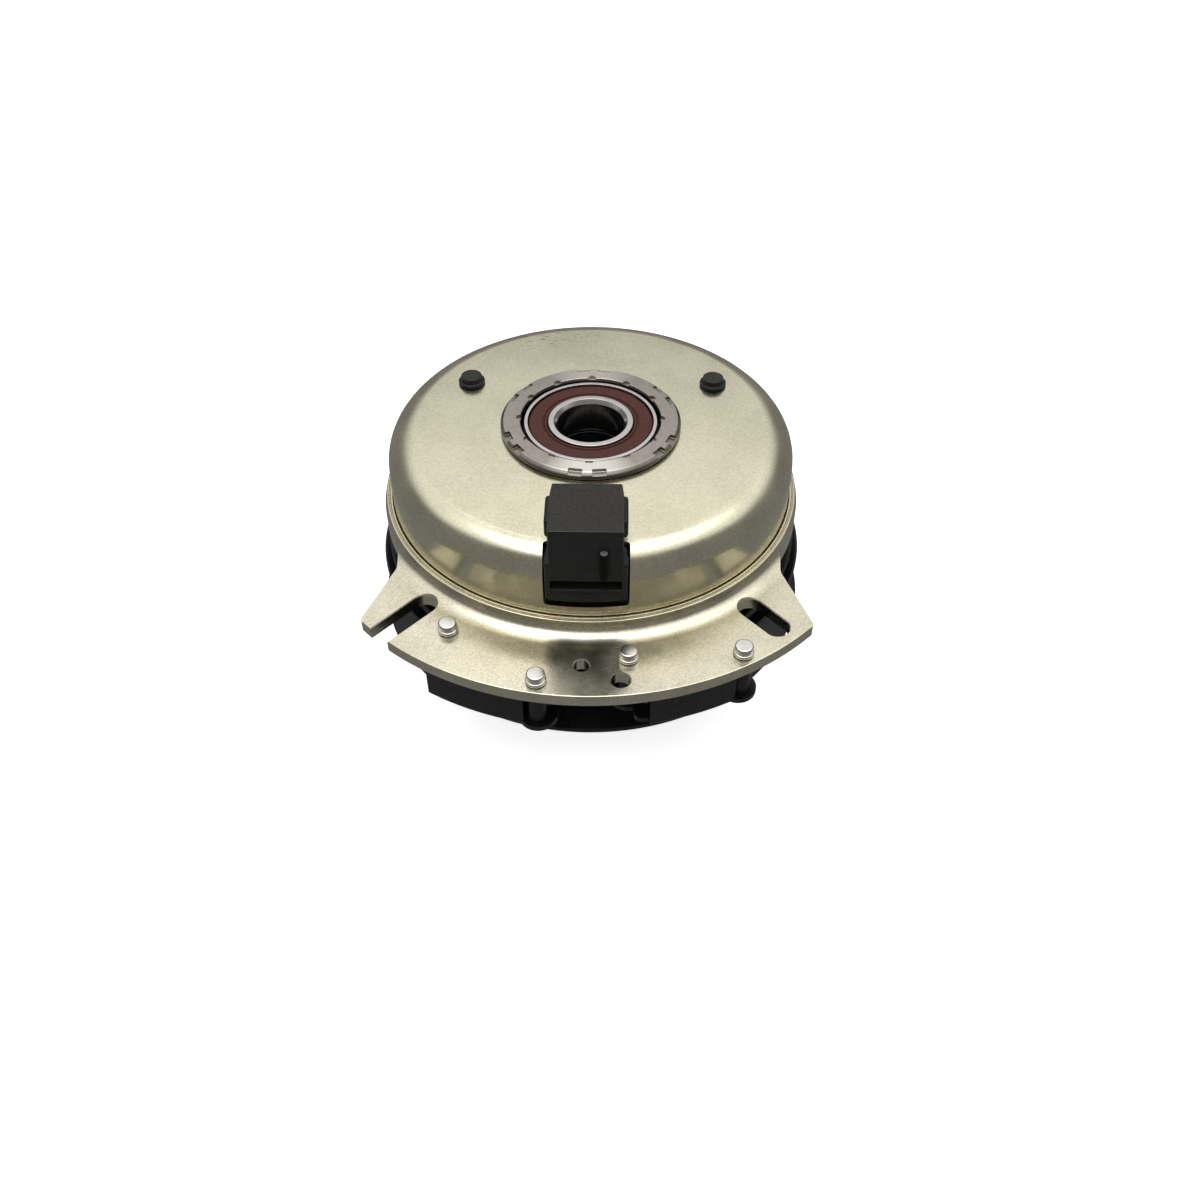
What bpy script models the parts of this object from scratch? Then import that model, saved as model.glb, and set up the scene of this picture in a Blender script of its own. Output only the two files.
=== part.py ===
import math

import bmesh
import bpy
from mathutils import Matrix

# Electric PTO clutch with permanent-magnet brake, hung on a one inch crankshaft.
# Metres, +Z up, Z axis on the shaft, origin on the pulley's lower face.
# Angles are measured from the front (-Y) towards +X.

# fits
FIT = 0.0003
AIR_GAP = 0.0008
SHAFT_RADIUS = 0.0127
KEY_WIDTH = 0.00635
KEY_DEPTH = 0.0031

# pulley
PULLEY_WIDTH = 0.027
PULLEY_UPPER_RADIUS = 0.0838
PULLEY_LOWER_RADIUS = 0.0858
PULLEY_SHEET = 0.0024
GROOVE_FLOOR_RADIUS = 0.0675
GROOVE_HALF_ANGLE = math.radians(20)
PULLEY_WEB_HEIGHT = 0.020
PULLEY_HUB_WALL = 0.005
PULLEY_HUB_FLANGE = 0.0075
REST_FACE_WIDTH = 0.0024

# lower bearing
LOWER_BORE = 0.0175
LOWER_OUTER = 0.031
LOWER_WIDTH = 0.014
LOWER_BOTTOM = 0.0085
LOWER_BALLS = 10

# upper bearing
UPPER_OUTER = 0.026
UPPER_WIDTH = 0.015
UPPER_STANDOUT = 0.0022
UPPER_BALLS = 9
RING_WALL_SHARE = 0.26
SEAL_THICKNESS = 0.0009
SEAL_RECESS = 0.0005

# brake shoes
SHOE_CLEARANCE = 0.001
SHEET = 0.002
SHOE_OUTER_RADIUS = 0.1075
SHOE_WIDTH = 0.0323
SHOE_TURN = math.radians(20.25)
SHOE_EAR_RADIUS = 0.0068
SHOE_OUTER_EAR_INSET = 0.0048
SHOE_WALL_START_LEFT = math.radians(-10.95)
SHOE_WALL_START_RIGHT = math.radians(-8.25)
SHOE_WALL_END = math.radians(8.9)
SHOE_BEND = 0.0018
MAGNET_WIDTH = 0.0143
MAGNET_TO_WALL = 0.0057
MAGNET_THICKNESS = 0.0055
MAGNET_START = math.radians(-8.2)
MAGNET_END = math.radians(13.2)
POLE_PLATE_CLEARANCE = 0.0011

# rivets of the shoes
RIVET_INNER_INSET = 0.0145
RIVET_OUTER_INSET = 0.0033
RIVET_HALF_SPREAD = math.radians(11.15)
RIVET_SHANK = 0.0019
RIVET_HEAD_RADIUS = 0.0033
RIVET_HEAD_HEIGHT = 0.0038
RIVET_COLLAR_RADIUS = 0.0036
RIVET_COLLAR_HEIGHT = 0.0013
SPACER_WALL = 0.0013

# armature, springs and rotor
ARMATURE_INNER = 0.042
ARMATURE_RADIUS = 0.0812
ARMATURE_THICKNESS = 0.0035
RELEASED_GAP = 0.0007
ARMATURE_TRAVEL = 0.0004
SPRING_CIRCLE = 0.052
SPRING_HALF_ANGLE = math.radians(22)
SPRING_WIDTH = 0.012
SPRING_SHEET = 0.0008
SPRING_COUNT = 3
SPRING_RISE = 0.0035
SPRING_KINK = 0.003
SPRING_RIVET_RADIUS = 0.0025
SPRING_RIVET_HEAD = 0.0042
SPRING_RIVET_HEAD_HEIGHT = 0.0014
ROTOR_RADIUS = 0.0765
ROTOR_DISC = 0.005
ROTOR_INNER_FLANGE = 0.0032
ROTOR_OUTER_FLANGE = 0.003
ROTOR_TO_PLATE = 0.0034
HUB_RADIUS = 0.020
HUB_NECK_RADIUS = 0.0161
HUB_NECK_HEIGHT = 0.004
HUB_FLANGE_RADIUS = 0.026
HUB_FLANGE = 0.003
HUB_SHOULDER = 0.022
HUB_TAIL = 0.004
COUNTERBORE_RADIUS = 0.0136
COUNTERBORE_DEPTH = 0.0055
RETAINER_THICKNESS = 0.0012
RETAINER_RADIUS = 0.0205
SLOT_MIDDLE = 0.056
SLOT_WIDTH = 0.003
SLOT_COUNT = 6
SLOT_HALF_ANGLE = math.radians(23)

# torque plate
PLATE_THICKNESS = 0.0048
PLATE_OVERHANG = 0.0023
PLATE_FILLET_RADIUS = 0.087
PLATE_BACK_RADIUS = 0.0808
COLLAR_HEIGHT = 0.0056
COLLAR_WALL = 0.0025
WING_ANGLE = math.radians(47.0)
WING_ROOT_X = 0.0708
WING_ROOT_Y = -0.0475
WING_TIP_ROUND = 0.0035
SLOT_ANGLE = math.radians(41.4)
MOUNT_SLOT_WIDTH = 0.0093
MOUNT_SLOT_START = 0.0886
MOUNT_SLOT_END = 0.1011
SMALL_HOLE = (0.00272, 0.0954, math.radians(-0.8))
LARGE_HOLE = (0.00335, 0.1026, math.radians(6.75))

# cup, inner pole and coil
CUP_RADIUS = 0.0773
CUP_WALL = 0.0032
CUP_HEIGHT = 0.0356
CUP_SHOULDER = 0.0105
POLE_WALL = 0.0047
POLE_HEAD_STEP = 0.0025
POLE_HEAD = 0.0029
POLE_SEAT = 0.0033
BOBBIN_RADIUS = 0.0665
BOBBIN_HEIGHT = 0.0145
BOBBIN_WALL = 0.0018
PLUG_CIRCLE = 0.055
PLUG_ANGLE = math.radians(120)
PLUG_STEM = 0.0039
PLUG_BASE = 0.00515
PLUG_TOP = 0.00405
PLUG_HEIGHT = 0.0032

# connector
CONNECTOR_WIDTH = 0.0252
CONNECTOR_BACK = 0.0532
CONNECTOR_FRONT = 0.0785
CONNECTOR_ABOVE_CUP = 0.0142
CONNECTOR_FOOT_WIDTH = 0.0292
CONNECTOR_FOOT_DEPTH = 0.0182
CUTOUT_EXTRA_DEPTH = 0.0031
MOUTH_WIDTH = 0.0246
MOUTH_BOTTOM = 0.0046
MOUTH_HEIGHT = 0.0056
CONNECTOR_WALL = 0.0016
LATCH_PLACE = 0.0061
LATCH_RADIUS = 0.0013
LATCH_DROP = 0.0081
BLADE_WIDTH = 0.0063
BLADE_THICKNESS = 0.0008
BLADE_SPACING = 0.0055
BLADE_TIP = 0.0036

# facets
FINE = 48
MEDIUM = 36
COARSE = 24
SMALL = 12

# heights worked out from the floor up
SHOE_BOTTOM = PULLEY_WIDTH + SHOE_CLEARANCE
SHOE_TOP = SHOE_BOTTOM + SHEET
ARMATURE_BOTTOM = SHOE_TOP + FIT
ARMATURE_TOP = ARMATURE_BOTTOM + ARMATURE_THICKNESS
ROTOR_FACE = ARMATURE_TOP + RELEASED_GAP
ROTOR_TOP = ROTOR_FACE + ROTOR_DISC
PLATE_BOTTOM = ROTOR_TOP + ROTOR_TO_PLATE
PLATE_TOP = PLATE_BOTTOM + PLATE_THICKNESS
COLLAR_TOP = PLATE_TOP + COLLAR_HEIGHT
CUP_BOTTOM = PLATE_BOTTOM + FIT
CUP_TOP = CUP_BOTTOM + CUP_HEIGHT
CUP_CEILING = CUP_TOP - CUP_WALL
UPPER_TOP = CUP_TOP + UPPER_STANDOUT
UPPER_BOTTOM = UPPER_TOP - UPPER_WIDTH
LOWER_TOP = LOWER_BOTTOM + LOWER_WIDTH
BOBBIN_TOP = CUP_CEILING - FIT
BOBBIN_BOTTOM = BOBBIN_TOP - BOBBIN_HEIGHT
ROTOR_FLANGE_TOP = BOBBIN_BOTTOM - AIR_GAP

# radii worked out outwards from the upper bearing
POLE_BORE = UPPER_OUTER + FIT
POLE_RADIUS = POLE_BORE + POLE_WALL
POLE_HEAD_RADIUS = POLE_RADIUS + POLE_HEAD_STEP
CUP_INNER = CUP_RADIUS - CUP_WALL
COLLAR_INNER = CUP_RADIUS + FIT
COLLAR_RADIUS = COLLAR_INNER + COLLAR_WALL
PULLEY_HUB_BORE = LOWER_OUTER + FIT
PULLEY_HUB_RADIUS = PULLEY_HUB_BORE + PULLEY_HUB_WALL
SHOE_INNER_RADIUS = SHOE_OUTER_RADIUS - SHOE_WIDTH
SHOE_OUTER_EAR_CENTRE = SHOE_OUTER_RADIUS - SHOE_OUTER_EAR_INSET
RIVET_INNER_CIRCLE = SHOE_OUTER_RADIUS - RIVET_INNER_INSET
RIVET_OUTER_CIRCLE = SHOE_OUTER_RADIUS - RIVET_OUTER_INSET
PLATE_RADIUS = SHOE_OUTER_RADIUS + PLATE_OVERHANG
MAGNET_OUTER = SHOE_OUTER_RADIUS - SHEET - MAGNET_TO_WALL
MAGNET_INNER = MAGNET_OUTER - MAGNET_WIDTH


def start():
    for item in list(bpy.data.objects):
        bpy.data.objects.remove(item, do_unlink=True)
    parts = bpy.data.collections.new("electric_pto_clutch")
    cutters = bpy.data.collections.new("cutters")
    bpy.context.scene.collection.children.link(parts)
    bpy.context.scene.collection.children.link(cutters)
    return parts, cutters


PARTS, CUTTERS = start()


def paint(name, colour, roughness, metallic):
    material = bpy.data.materials.new(name)
    material.use_nodes = True
    shader = material.node_tree.nodes["Principled BSDF"]
    shader.inputs["Base Color"].default_value = (*colour, 1.0)
    shader.inputs["Roughness"].default_value = roughness
    shader.inputs["Metallic"].default_value = metallic
    material.diffuse_color = (*colour, 1.0)
    return material


def place(name, mesh, finish, group=None):
    # Links a mesh as a part, or as a cutter when it has no finish.
    item = bpy.data.objects.new(name, mesh)
    if finish is None:
        CUTTERS.objects.link(item)
        item.hide_render = True
        item.display_type = "WIRE"
    else:
        PARTS.objects.link(item)
        material = paint(name, *finish)
        mesh.materials.append(material)
    if group is not None:
        item.parent = group
    return item


def polar(radius, angle):
    return radius * math.sin(angle), -radius * math.cos(angle)


def arc(centre_x, centre_y, radius, first, last, count):
    # Points round a circle, first and last as plain angles from +X.
    step = (last - first) / count
    angles = [first + step * k for k in range(count + 1)]
    return [(centre_x + radius * math.cos(a), centre_y + radius * math.sin(a)) for a in angles]


def sweep(radius, first, last, count):
    # Points on a circle round the shaft, angles from the front.
    step = (last - first) / count
    return [polar(radius, first + step * k) for k in range(count + 1)]


def turned(name, profile, finish, steps=MEDIUM, closed=True, at=(0.0, 0.0)):
    # A profile of (radius, height) pairs, spun round the vertical axis.
    mesh = bpy.data.meshes.new(name)
    work = bmesh.new()
    points = [work.verts.new((radius, 0.0, height)) for radius, height in profile]
    pairs = list(zip(points, points[1:]))
    if closed:
        pairs.append((points[-1], points[0]))
    for one, two in pairs:
        work.edges.new((one, two))
    work.to_mesh(mesh)
    work.free()
    item = place(name, mesh, finish)
    item.location = (at[0], at[1], 0.0)
    spin = item.modifiers.new("Spin", "SCREW")
    spin.axis = "Z"
    spin.angle = math.tau
    spin.steps = steps
    spin.render_steps = steps
    spin.use_merge_vertices = True
    spin.merge_threshold = 0.00001
    spin.use_smooth_shade = True
    return item


def flat(name, outline, bottom, top, finish, holes=()):
    # A flat outline with its holes, drawn as a filled curve and given its thickness.
    curve = bpy.data.curves.new(name, "CURVE")
    curve.dimensions = "2D"
    curve.fill_mode = "BOTH"
    curve.extrude = (top - bottom) / 2
    for ring in (outline, *holes):
        line = curve.splines.new("POLY")
        line.points.add(len(ring) - 1)
        for point, (x, y) in zip(line.points, ring):
            point.co = (x, y, 0.0, 1.0)
        line.use_cyclic_u = True
    drawn = bpy.data.objects.new(name + "_outline", curve)
    CUTTERS.objects.link(drawn)
    bpy.context.view_layer.update()
    seen = drawn.evaluated_get(bpy.context.evaluated_depsgraph_get())
    mesh = bpy.data.meshes.new_from_object(seen)
    bpy.data.objects.remove(drawn, do_unlink=True)
    work = bmesh.new()
    work.from_mesh(mesh)
    bmesh.ops.remove_doubles(work, verts=work.verts, dist=0.000005)
    bmesh.ops.recalc_face_normals(work, faces=work.faces)
    bmesh.ops.translate(work, verts=work.verts, vec=(0.0, 0.0, (bottom + top) / 2))
    work.to_mesh(mesh)
    work.free()
    return place(name, mesh, finish)


def block(name, x0, x1, y0, y1, z0, z1, finish, turn=0.0):
    # A box between two corners, turned about the shaft.
    mesh = bpy.data.meshes.new(name)
    work = bmesh.new()
    bmesh.ops.create_cube(work, size=1.0)
    bmesh.ops.scale(work, verts=work.verts, vec=(x1 - x0, y1 - y0, z1 - z0))
    middle = ((x0 + x1) / 2, (y0 + y1) / 2, (z0 + z1) / 2)
    bmesh.ops.translate(work, verts=work.verts, vec=middle)
    spin = Matrix.Rotation(turn, 3, "Z")
    bmesh.ops.rotate(work, verts=work.verts, cent=(0.0, 0.0, 0.0), matrix=spin)
    work.to_mesh(mesh)
    work.free()
    return place(name, mesh, finish)


def rod(name, centre, radius, z0, z1, finish=None, steps=SMALL, top_radius=None):
    # A round bar between two heights.
    mesh = bpy.data.meshes.new(name)
    work = bmesh.new()
    upper = radius if top_radius is None else top_radius
    bmesh.ops.create_cone(work, cap_ends=True, segments=steps, radius1=radius, radius2=upper, depth=z1 - z0)
    bmesh.ops.translate(work, verts=work.verts, vec=(centre[0], centre[1], (z0 + z1) / 2))
    work.to_mesh(mesh)
    work.free()
    return place(name, mesh, finish)


def gathered(name, items):
    # Several cutters that do not meet, as one cutter.
    work = bmesh.new()
    for item in items:
        work.from_mesh(item.data)
        bpy.data.objects.remove(item, do_unlink=True)
    mesh = bpy.data.meshes.new(name)
    work.to_mesh(mesh)
    work.free()
    return place(name, mesh, None)


def combine(item, other, operation):
    step = item.modifiers.new(operation.title(), "BOOLEAN")
    step.operation = operation
    step.solver = "EXACT"
    step.object = other
    return item


def cut(item, other):
    return combine(item, other, "DIFFERENCE")


def join(item, other):
    return combine(item, other, "UNION")


def soften(item, width, segments=2):
    edge = item.modifiers.new("Edge", "BEVEL")
    edge.width = width
    edge.segments = segments
    edge.limit_method = "ANGLE"
    edge.angle_limit = math.radians(40)
    return item


STEEL = ((0.62, 0.60, 0.58), 0.35, 1.0)
BRIGHT = ((0.78, 0.77, 0.75), 0.25, 1.0)
ZINC = ((0.60, 0.58, 0.45), 0.38, 1.0)
BLACK_PAINT = ((0.012, 0.012, 0.013), 0.42, 0.0)
PLASTIC = ((0.02, 0.02, 0.021), 0.55, 0.0)
SEAL = ((0.13, 0.05, 0.04), 0.55, 0.0)
COPPER = ((0.65, 0.28, 0.14), 0.4, 1.0)
FERRITE = ((0.06, 0.06, 0.065), 0.6, 0.2)
SPRING_STEEL = ((0.30, 0.31, 0.33), 0.35, 1.0)


def rounded(corner_r, corner_z, radius, first, last, count):
    # Profile points on a quarter turn, angles from +X in the radius and height plane.
    return arc(corner_r, corner_z, radius, first, last, count)


def field_cup():
    inner = CUP_SHOULDER - CUP_WALL
    middle_r = CUP_RADIUS - CUP_SHOULDER
    middle_z = CUP_TOP - CUP_SHOULDER
    hole = POLE_RADIUS + FIT
    profile = [(hole, CUP_TOP)]
    profile += rounded(middle_r, middle_z, CUP_SHOULDER, math.pi / 2, 0.0, 4)
    profile += [(CUP_RADIUS, CUP_BOTTOM), (CUP_INNER, CUP_BOTTOM)]
    profile += rounded(middle_r, middle_z, inner, 0.0, math.pi / 2, 3)
    profile += [(hole, CUP_CEILING)]
    cup = turned("field_cup", profile, ZINC, FINE)
    half = CONNECTOR_FOOT_WIDTH / 2 + FIT
    floor = CUP_TOP - CONNECTOR_FOOT_DEPTH - CUTOUT_EXTRA_DEPTH
    back = -(BOBBIN_RADIUS + FIT)
    window = block("cup_window", -half, half, -CUP_RADIUS - 0.01, back, floor, CUP_TOP + 0.01, None)
    cut(cup, window)
    holes = []
    for side in (-1, 1):
        centre = polar(PLUG_CIRCLE, side * PLUG_ANGLE)
        holes.append(rod("plug_hole", centre, PLUG_STEM + FIT, CUP_CEILING - 0.004, CUP_TOP + 0.004))
    cut(cup, gathered("plug_holes", holes))
    return cup


def inner_pole():
    head_bottom = CUP_TOP + FIT
    head_top = head_bottom + POLE_HEAD
    seat = UPPER_BOTTOM - FIT
    mouth = POLE_BORE + 0.0007
    profile = [
        (mouth, head_top),
        (POLE_HEAD_RADIUS - 0.0008, head_top),
        (POLE_HEAD_RADIUS, head_top - 0.0009),
        (POLE_HEAD_RADIUS, head_bottom),
        (POLE_RADIUS, head_bottom),
        (POLE_RADIUS, CUP_BOTTOM),
        (POLE_BORE - POLE_SEAT, CUP_BOTTOM),
        (POLE_BORE - POLE_SEAT, seat),
        (POLE_BORE, seat),
        (POLE_BORE, UPPER_TOP),
    ]
    pole = turned("inner_pole", profile, STEEL, MEDIUM)
    notches = []
    for pair in range(6):
        for side in (-1, 1):
            turn = math.radians(60 * pair + 7.7 * side - 1.0)
            notches.append(block(
                "stake", -0.0023, 0.0023, -POLE_HEAD_RADIUS - 0.002, -POLE_HEAD_RADIUS + 0.002,
                head_top - 0.0012, head_top + 0.002, None, turn))
    cut(pole, gathered("outer_stakes", notches))
    dimples = []
    for k in range(12):
        centre = polar(mouth, math.radians(30 * k + 15))
        dimples.append(rod("dimple", centre, 0.0013, head_top - 0.0007, head_top + 0.001, steps=6))
    cut(pole, gathered("inner_stakes", dimples))
    return pole


def wing_outline():
    # Right half of the plate from the front centre to the back, then mirrored.
    half = sweep(PLATE_RADIUS, 0.0, WING_ANGLE - math.radians(1.6), 16)
    tip_x, tip_y = polar(PLATE_RADIUS, WING_ANGLE)
    run_x = tip_x - WING_ROOT_X
    run_y = tip_y - WING_ROOT_Y
    length = math.hypot(run_x, run_y)
    away_x = run_x / length
    away_y = run_y / length
    end_x, end_y = half[-1]
    side_x = tip_x - away_x * WING_TIP_ROUND
    side_y = tip_y - away_y * WING_TIP_ROUND
    for k in range(1, 3):
        t = k / 3
        x = (1 - t) ** 2 * end_x + 2 * t * (1 - t) * tip_x + t * t * side_x
        y = (1 - t) ** 2 * end_y + 2 * t * (1 - t) * tip_y + t * t * side_y
        half.append((x, y))
    half.append((side_x, side_y))
    leave = math.radians(61.5)
    back_x, back_y = polar(PLATE_BACK_RADIUS, leave)
    near_x = WING_ROOT_X + away_x * 0.004
    near_y = WING_ROOT_Y + away_y * 0.004
    for k in range(4):
        t = k / 3
        x = (1 - t) ** 2 * near_x + 2 * t * (1 - t) * WING_ROOT_X + t * t * back_x
        y = (1 - t) ** 2 * near_y + 2 * t * (1 - t) * WING_ROOT_Y + t * t * back_y
        half.append((x, y))
    half += sweep(PLATE_BACK_RADIUS, leave, math.pi, 17)[1:]
    mirrored = [(-x, y) for x, y in reversed(half[1:-1])]
    return half + mirrored


def torque_plate():
    inner = COLLAR_INNER
    outer = COLLAR_RADIUS
    round_off = COLLAR_WALL * 0.3
    fillet_top = COLLAR_TOP - 0.0018
    fillet_width = PLATE_FILLET_RADIUS - outer
    profile = [
        (inner, COLLAR_TOP),
        (outer - round_off, COLLAR_TOP),
        (outer, COLLAR_TOP - round_off),
    ]
    for angle in map(math.radians, (0, 40, 65, 90)):
        radius = PLATE_FILLET_RADIUS - fillet_width * math.cos(angle)
        height = fillet_top - (fillet_top - PLATE_TOP) * math.sin(angle)
        profile.append((radius, height))
    profile += [(PLATE_RADIUS + 0.004, PLATE_TOP), (PLATE_RADIUS + 0.004, PLATE_BOTTOM), (inner, PLATE_BOTTOM)]
    plate = turned("torque_plate", profile, ZINC, FINE)
    trim = flat("plate_trim", wing_outline(), PLATE_BOTTOM - 0.01, COLLAR_TOP + 0.01, None)
    combine(plate, trim, "INTERSECT")
    low = PLATE_BOTTOM - 0.002
    high = COLLAR_TOP + 0.002
    half = MOUNT_SLOT_WIDTH / 2
    openings = []
    for side, far in ((1, MOUNT_SLOT_END), (-1, PLATE_RADIUS + 0.02)):
        outline = arc(0.0, -MOUNT_SLOT_START, half, 0.0, math.pi, 8)
        outline += arc(0.0, -far, half, math.pi, math.tau, 8)
        slot = flat("mount_slot", outline, low, high, None)
        slot.data.transform(Matrix.Rotation(side * SLOT_ANGLE, 4, "Z"))
        openings.append(slot)
    for radius, circle, angle in (SMALL_HOLE, LARGE_HOLE):
        openings.append(rod("plate_hole", polar(circle, angle), radius, low, high, steps=16))
    for turn in (-SHOE_TURN, SHOE_TURN):
        for centre in rivet_places(turn):
            openings.append(rod("rivet_hole", centre, RIVET_SHANK + FIT, low, high, steps=10))
    cut(plate, gathered("plate_openings", openings))
    return plate


def rivet_places(turn):
    return (
        polar(RIVET_INNER_CIRCLE, turn - RIVET_HALF_SPREAD),
        polar(RIVET_OUTER_CIRCLE, turn + RIVET_HALF_SPREAD),
    )


def shoe_outline(turn):
    # The base: two ears round the rivets, a radial end at each side.
    first = turn - RIVET_HALF_SPREAD
    last = turn + RIVET_HALF_SPREAD
    inner_x, inner_y = polar(RIVET_INNER_CIRCLE, first)
    step = SHOE_OUTER_EAR_CENTRE
    outer_x, outer_y = polar(step, last)
    first_edge = first - math.asin(SHOE_EAR_RADIUS / RIVET_INNER_CIRCLE)
    last_edge = last + math.asin(SHOE_EAR_RADIUS / step)
    base_radius = SHOE_OUTER_RADIUS - SHOE_BEND
    reach = (base_radius ** 2 + step ** 2 - SHOE_EAR_RADIUS ** 2) / (2 * base_radius * step)
    ear_start = last - math.acos(min(1.0, reach))
    low_x, low_y = polar(base_radius, ear_start)
    ear_from = math.atan2(low_y - outer_y, low_x - outer_x)
    ear_to = last_edge
    outline = sweep(SHOE_INNER_RADIUS, last_edge, first_edge, 6)
    # round the inner ear, from its outward tangent to the left end
    tangent = first_edge + math.pi
    outline += arc(inner_x, inner_y, SHOE_EAR_RADIUS, tangent, first - math.pi / 2 + math.tau, 5)
    end = first + math.radians(0.3)
    outline += [polar(RIVET_INNER_CIRCLE + SHOE_EAR_RADIUS + 0.0004, end)]
    corner = 0.003
    outline += [polar(base_radius - corner, end)]
    outline += [polar(base_radius - corner * 0.3, end + math.radians(0.45))]
    outline += sweep(base_radius, end + math.radians(1.5), ear_start, 5)
    outline += arc(outer_x, outer_y, SHOE_EAR_RADIUS, ear_from, ear_to, 7)[1:]
    return outline


def sector(name, inner, outer, first, last, bottom, top, finish, count=4):
    outline = sweep(inner, last, first, count) + sweep(outer, first, last, count)
    return flat(name, outline, bottom, top, finish)


def brake_shoe(side, turn, wall_start):
    name = "brake_shoe_" + side
    shoe = flat(name, shoe_outline(turn), SHOE_BOTTOM, SHOE_TOP, BLACK_PAINT)
    # the bent-up wall, a bend radius at its foot
    outer = SHOE_OUTER_RADIUS
    root = outer - SHOE_BEND - 0.0012
    wall_top = PLATE_BOTTOM - FIT
    profile = [(outer - SHEET, wall_top), (outer, wall_top)]
    profile += rounded(outer - SHOE_BEND, SHOE_BOTTOM + SHOE_BEND, SHOE_BEND, 0.0, -math.pi / 2, 2)
    profile += [(root, SHOE_BOTTOM), (root, SHOE_TOP), (outer - SHEET, SHOE_TOP)]
    wall = turned(name + "_wall", profile, None, FINE)
    first = turn + wall_start
    last = turn + SHOE_WALL_END
    keep = sector(name + "_span", root - 0.01, outer + 0.01, first, last, SHOE_BOTTOM - 0.01, wall_top + 0.01, None)
    combine(wall, keep, "INTERSECT")
    join(shoe, wall)
    holes = []
    for centre in rivet_places(turn):
        holes.append(rod("shoe_hole", centre, RIVET_SHANK + FIT, SHOE_BOTTOM - 0.002, SHOE_TOP + 0.002, steps=10))
    cut(shoe, gathered(name + "_holes", holes))
    magnet_bottom = SHOE_TOP + FIT
    magnet_top = magnet_bottom + MAGNET_THICKNESS
    begin = turn + MAGNET_START
    end = turn + MAGNET_END
    sector("brake_magnet_" + side, MAGNET_INNER, MAGNET_OUTER, begin, end, magnet_bottom, magnet_top, FERRITE)
    pole_inner = ARMATURE_RADIUS + POLE_PLATE_CLEARANCE
    pole_bottom = magnet_top + FIT
    sector("brake_pole_" + side, pole_inner, MAGNET_OUTER, begin, end, pole_bottom, pole_bottom + SHEET, BLACK_PAINT)
    for place_name, centre in zip(("inner", "outer"), rivet_places(turn)):
        shoe_rivet("shoe_rivet_" + side + "_" + place_name, centre)
        spacer("spacer_" + side + "_" + place_name, centre)
    return shoe


def shoe_rivet(name, centre):
    base = PLATE_TOP + FIT
    ring_top = base + RIVET_COLLAR_HEIGHT
    top = base + RIVET_HEAD_HEIGHT
    foot = SHOE_BOTTOM - FIT
    profile = [
        (0.0, top),
        (RIVET_HEAD_RADIUS - 0.0005, top),
        (RIVET_HEAD_RADIUS, top - 0.0005),
        (RIVET_HEAD_RADIUS - 0.0003, ring_top),
        (RIVET_COLLAR_RADIUS, ring_top - 0.0003),
        (RIVET_COLLAR_RADIUS, base),
        (RIVET_SHANK, base),
        (RIVET_SHANK, foot),
        (RIVET_HEAD_RADIUS, foot),
        (0.0, foot - 0.0012),
    ]
    return turned(name, profile, BRIGHT, SMALL, closed=False, at=centre)


def spacer(name, centre):
    inner = RIVET_SHANK + FIT
    outer = inner + SPACER_WALL
    top = PLATE_BOTTOM - FIT
    bottom = SHOE_TOP + FIT
    profile = [(inner, top), (outer, top), (outer, bottom), (inner, bottom)]
    return turned(name, profile, BLACK_PAINT, 10, at=centre)


def bearing(prefix, bore, outer, bottom, width, balls, steps):
    # A sealed deep-groove ball bearing, as two rings, a ball set and two seals.
    wall = (outer - bore) * RING_WALL_SHARE
    inner_land = bore + wall
    outer_land = outer - wall * 0.62
    pitch = (inner_land + outer_land) / 2
    ball = (outer_land - inner_land) / 2 + 0.0001
    groove = ball + 1.2 * FIT
    top = bottom + width
    middle = (bottom + top) / 2
    edge = 0.0008
    half = math.acos((outer_land - pitch) / groove)
    race_out = rounded(pitch, middle, groove, -half, half, 2)
    race_in = rounded(pitch, middle, groove, math.pi - half, math.pi + half, 2)
    outer_profile = [
        (outer_land, top), (outer - edge, top), (outer, top - edge),
        (outer, bottom + edge), (outer - edge, bottom), (outer_land, bottom),
    ] + race_out
    turned(prefix + "_outer_ring", outer_profile, BRIGHT, steps)
    inner_profile = [
        (bore + edge, top), (inner_land, top),
    ] + race_in + [
        (inner_land, bottom), (bore + edge, bottom), (bore, bottom + edge), (bore, top - edge),
    ]
    turned(prefix + "_inner_ring", inner_profile, BRIGHT, steps)
    seal_in = inner_land + FIT
    seal_out = outer_land - FIT
    for side, low in (("top", top - SEAL_RECESS - SEAL_THICKNESS), ("bottom", bottom + SEAL_RECESS)):
        high = low + SEAL_THICKNESS
        profile = [(seal_in, high), (seal_out, high), (seal_out, low), (seal_in, low)]
        turned(prefix + "_seal_" + side, profile, SEAL, steps)
    ribbon = ball * 0.30
    reach = ball * 0.42
    cage_profile = [
        (pitch - ribbon, middle + reach), (pitch + ribbon, middle + reach),
        (pitch + ribbon, middle - reach), (pitch - ribbon, middle - reach),
    ]
    cage = turned(prefix + "_ball_set", cage_profile, STEEL, balls * 2)
    mesh = bpy.data.meshes.new(prefix + "_balls")
    work = bmesh.new()
    for k in range(balls):
        x, y = polar(pitch, math.tau * (k + 0.4) / balls)
        spot = Matrix.Translation((x, y, middle))
        bmesh.ops.create_uvsphere(work, u_segments=8, v_segments=4, radius=ball, matrix=spot)
    work.to_mesh(mesh)
    work.free()
    join(cage, place(prefix + "_balls", mesh, None))


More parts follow.
